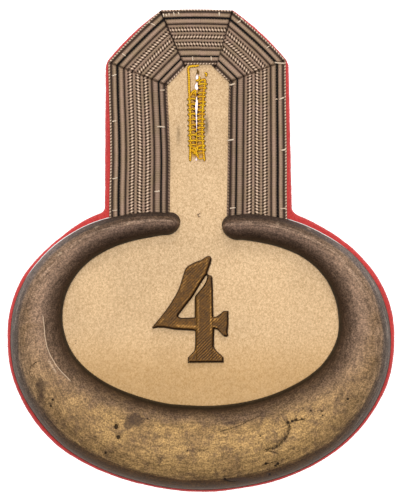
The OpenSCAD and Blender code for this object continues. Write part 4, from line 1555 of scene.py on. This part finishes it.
def make_buttonhole(finish):
    bundle = Bundle()
    chance = np.random.default_rng(81)
    for way in (RAIL_LEFT, RAIL_RIGHT):
        sew(bundle, way, 0.47, 1.3, 0.12, sides=12)
    for radius, way in LOOPS:
        sew(bundle, way, radius)
    sew(bundle, CLOSING, 0.34, tooth=0.25)
    for way in FRAYED:
        sew(bundle, way, 0.2, 0.7, sides=8, tooth=0.85)

    # Stitches come up at the cut, go over the rail and bite the cloth outside it.
    for side, way, (first, last, pitch) in ((-1, RAIL_LEFT[4:], LEFT_RUNGS),
                                            (1, RAIL_RIGHT[1:], RIGHT_RUNGS)):
        rail_x, rail_y, _ = zip(*way)
        for y in np.arange(first, last, pitch):
            y = y + chance.uniform(-0.5, 0.5)
            rail = np.interp(y, rail_y, rail_x)
            half, middle = cut_half_width(np.array([y]))
            lip = middle[0] + side * (half[0] + 0.7)
            lean = 0.45 * (1 + side)
            drop = chance.uniform(0.5, 1.3)
            stitch = [(lip - side * 0.4, y + lean + 0.5, -0.2), (lip + side * 0.6, y + lean - 0.2, 0.3),
                      (mix(lip, rail, 0.55), y + lean * 0.4 - 0.5, 0.4), (rail - side * 0.6, y, 0.66),
                      (rail + side * 0.6, y + 0.1, 0.76), (rail + side * 1.5, y + 0.3 + drop * 0.3, 0.35),
                      (rail + side * 2.5, y + drop, -0.15)]
            line = thread_line(stitch)
            # Past the rail the stitch is painted dark, as the shadow where it enters the cloth.
            away = (line[:, 0] - seen(rail, y)[0]) * side
            add_thread(bundle, line, chance.uniform(0.34, 0.42), 0.9, 9,
                       smooth_step(away, 0.34, 0.5))
            # A dark hook turns down from each stitch to the cut's lip, painted dark as the shadow there,
            # and a bright one goes on.
            if y + pitch < last + 2:
                hook = [(lip + side * 1.9, y + 1.0, 0.1), (lip + side * 0.8, y + 0.9, 0.34),
                        (lip, y + 1.9, 0.3), (lip - side * 0.2, y + 3.4, 0.0)]
                sew(bundle, hook, 0.3, 0.8, sides=8, tooth=1.0)
                bright = [(lip - side * 0.1, y + 3.0, 0.1), (lip + side * 0.1, y + 3.9, 0.3),
                          (lip - side * 0.1, y + pitch + 0.2, 0.1)]
                sew(bundle, bright, 0.19, 0.8, sides=8)
    bundle.make("buttonhole_stitches", finish, "gold_thread", ["buttonhole_edging"])


# A torn thread end on the field cloth, under the strap's middle, and three small bits
FLECK = [
    [(200.6, 213.0, 0.0), (198.6, 214.2, 0.12), (198.0, 215.6, 0.05)],
    [(197.6, 213.6, 0.0), (198.4, 216.2, 0.15), (200.4, 216.4, 0.02)],
    [(75.4, 340.4, 0.0), (76.0, 340.8, 0.08), (76.6, 340.8, 0.0)],
    [(75.4, 343.0, 0.0), (75.7, 343.4, 0.08), (75.8, 344.0, 0.0)],
    [(215.6, 218.2, 0.0), (215.9, 218.6, 0.08), (216.2, 218.8, 0.0)],
]


def make_fleck(finish):
    bundle = Bundle()
    for way in FLECK:
        sew(bundle, way, 0.12, 0.6, 0.08, sides=7)
    bundle.make("field_fleck", finish, "field_cloth")


# Stage, light and camera

CAMERA_HEIGHT = 1.6
SENSOR = 36.0
FLOOR_HALF = 3.0


def make_stage():
    floor = bpy.data.meshes.new("floor")
    corners = [(x * FLOOR_HALF, y * FLOOR_HALF, 0) for x, y in ((-1, -1), (1, -1), (1, 1), (-1, 1))]
    floor.from_pydata(corners, [], [(0, 1, 2, 3)])
    made = Finish("white_floor", base_color=(0.9, 0.9, 0.9, 1.0), roughness=0.9,
                  emission_color=(1.0, 1.0, 1.0, 1.0), emission_strength=0.9)
    floor.materials.append(made.material)
    put("floor", floor)


def add_softbox(name, place, size, power):
    light = bpy.data.lights.new(name, "AREA")
    light.shape = "SQUARE"
    light.size = size
    light.energy = power
    lamp = put(name, light)
    lamp.location = place
    lamp.rotation_mode = "QUATERNION"
    lamp.rotation_quaternion = (-Vector(place)).to_track_quat("-Z", "Y")


def make_light():
    add_softbox("softbox_above", (0.0, 0.25, 2.8), 1.6, 62)
    add_softbox("softbox_head", (0.3, 2.4, 2.2), 1.0, 26)
    world = bpy.data.worlds.new("pale_room")
    world.use_nodes = True
    sky = world.node_tree.nodes["Background"].inputs
    sky["Color"].default_value = (0.95, 0.97, 1.0, 1.0)
    sky["Strength"].default_value = 0.3
    bpy.context.scene.world = world
    bpy.context.scene.view_settings.view_transform = "Standard"


def make_camera():
    """A long lens straight above, as in the photograph."""
    camera = bpy.data.cameras.new("camera")
    camera.sensor_width = SENSOR
    camera.lens = SENSOR * (CAMERA_HEIGHT - WORK_Z * MM) / (PHOTO_SIZE[1] * PIXEL * MM)
    camera.clip_start = 0.1
    camera.clip_end = 20
    view = put("camera", camera)
    view.location = (*seen(PHOTO_SIZE[0] / 2, PHOTO_SIZE[1] / 2) * MM, CAMERA_HEIGHT)
    bpy.context.scene.camera = view


make_camera()
make_stage()
make_light()
make_base_cloth(red_cloth_finish())
make_field_cloth(cream_cloth_finish())
make_crescent(crescent_finish())
make_numeral(numeral_finish())
make_lace(lace_finish())
make_tacks(tack_finish())
make_buttonhole(silk_finish())
make_fleck(fleck_finish())
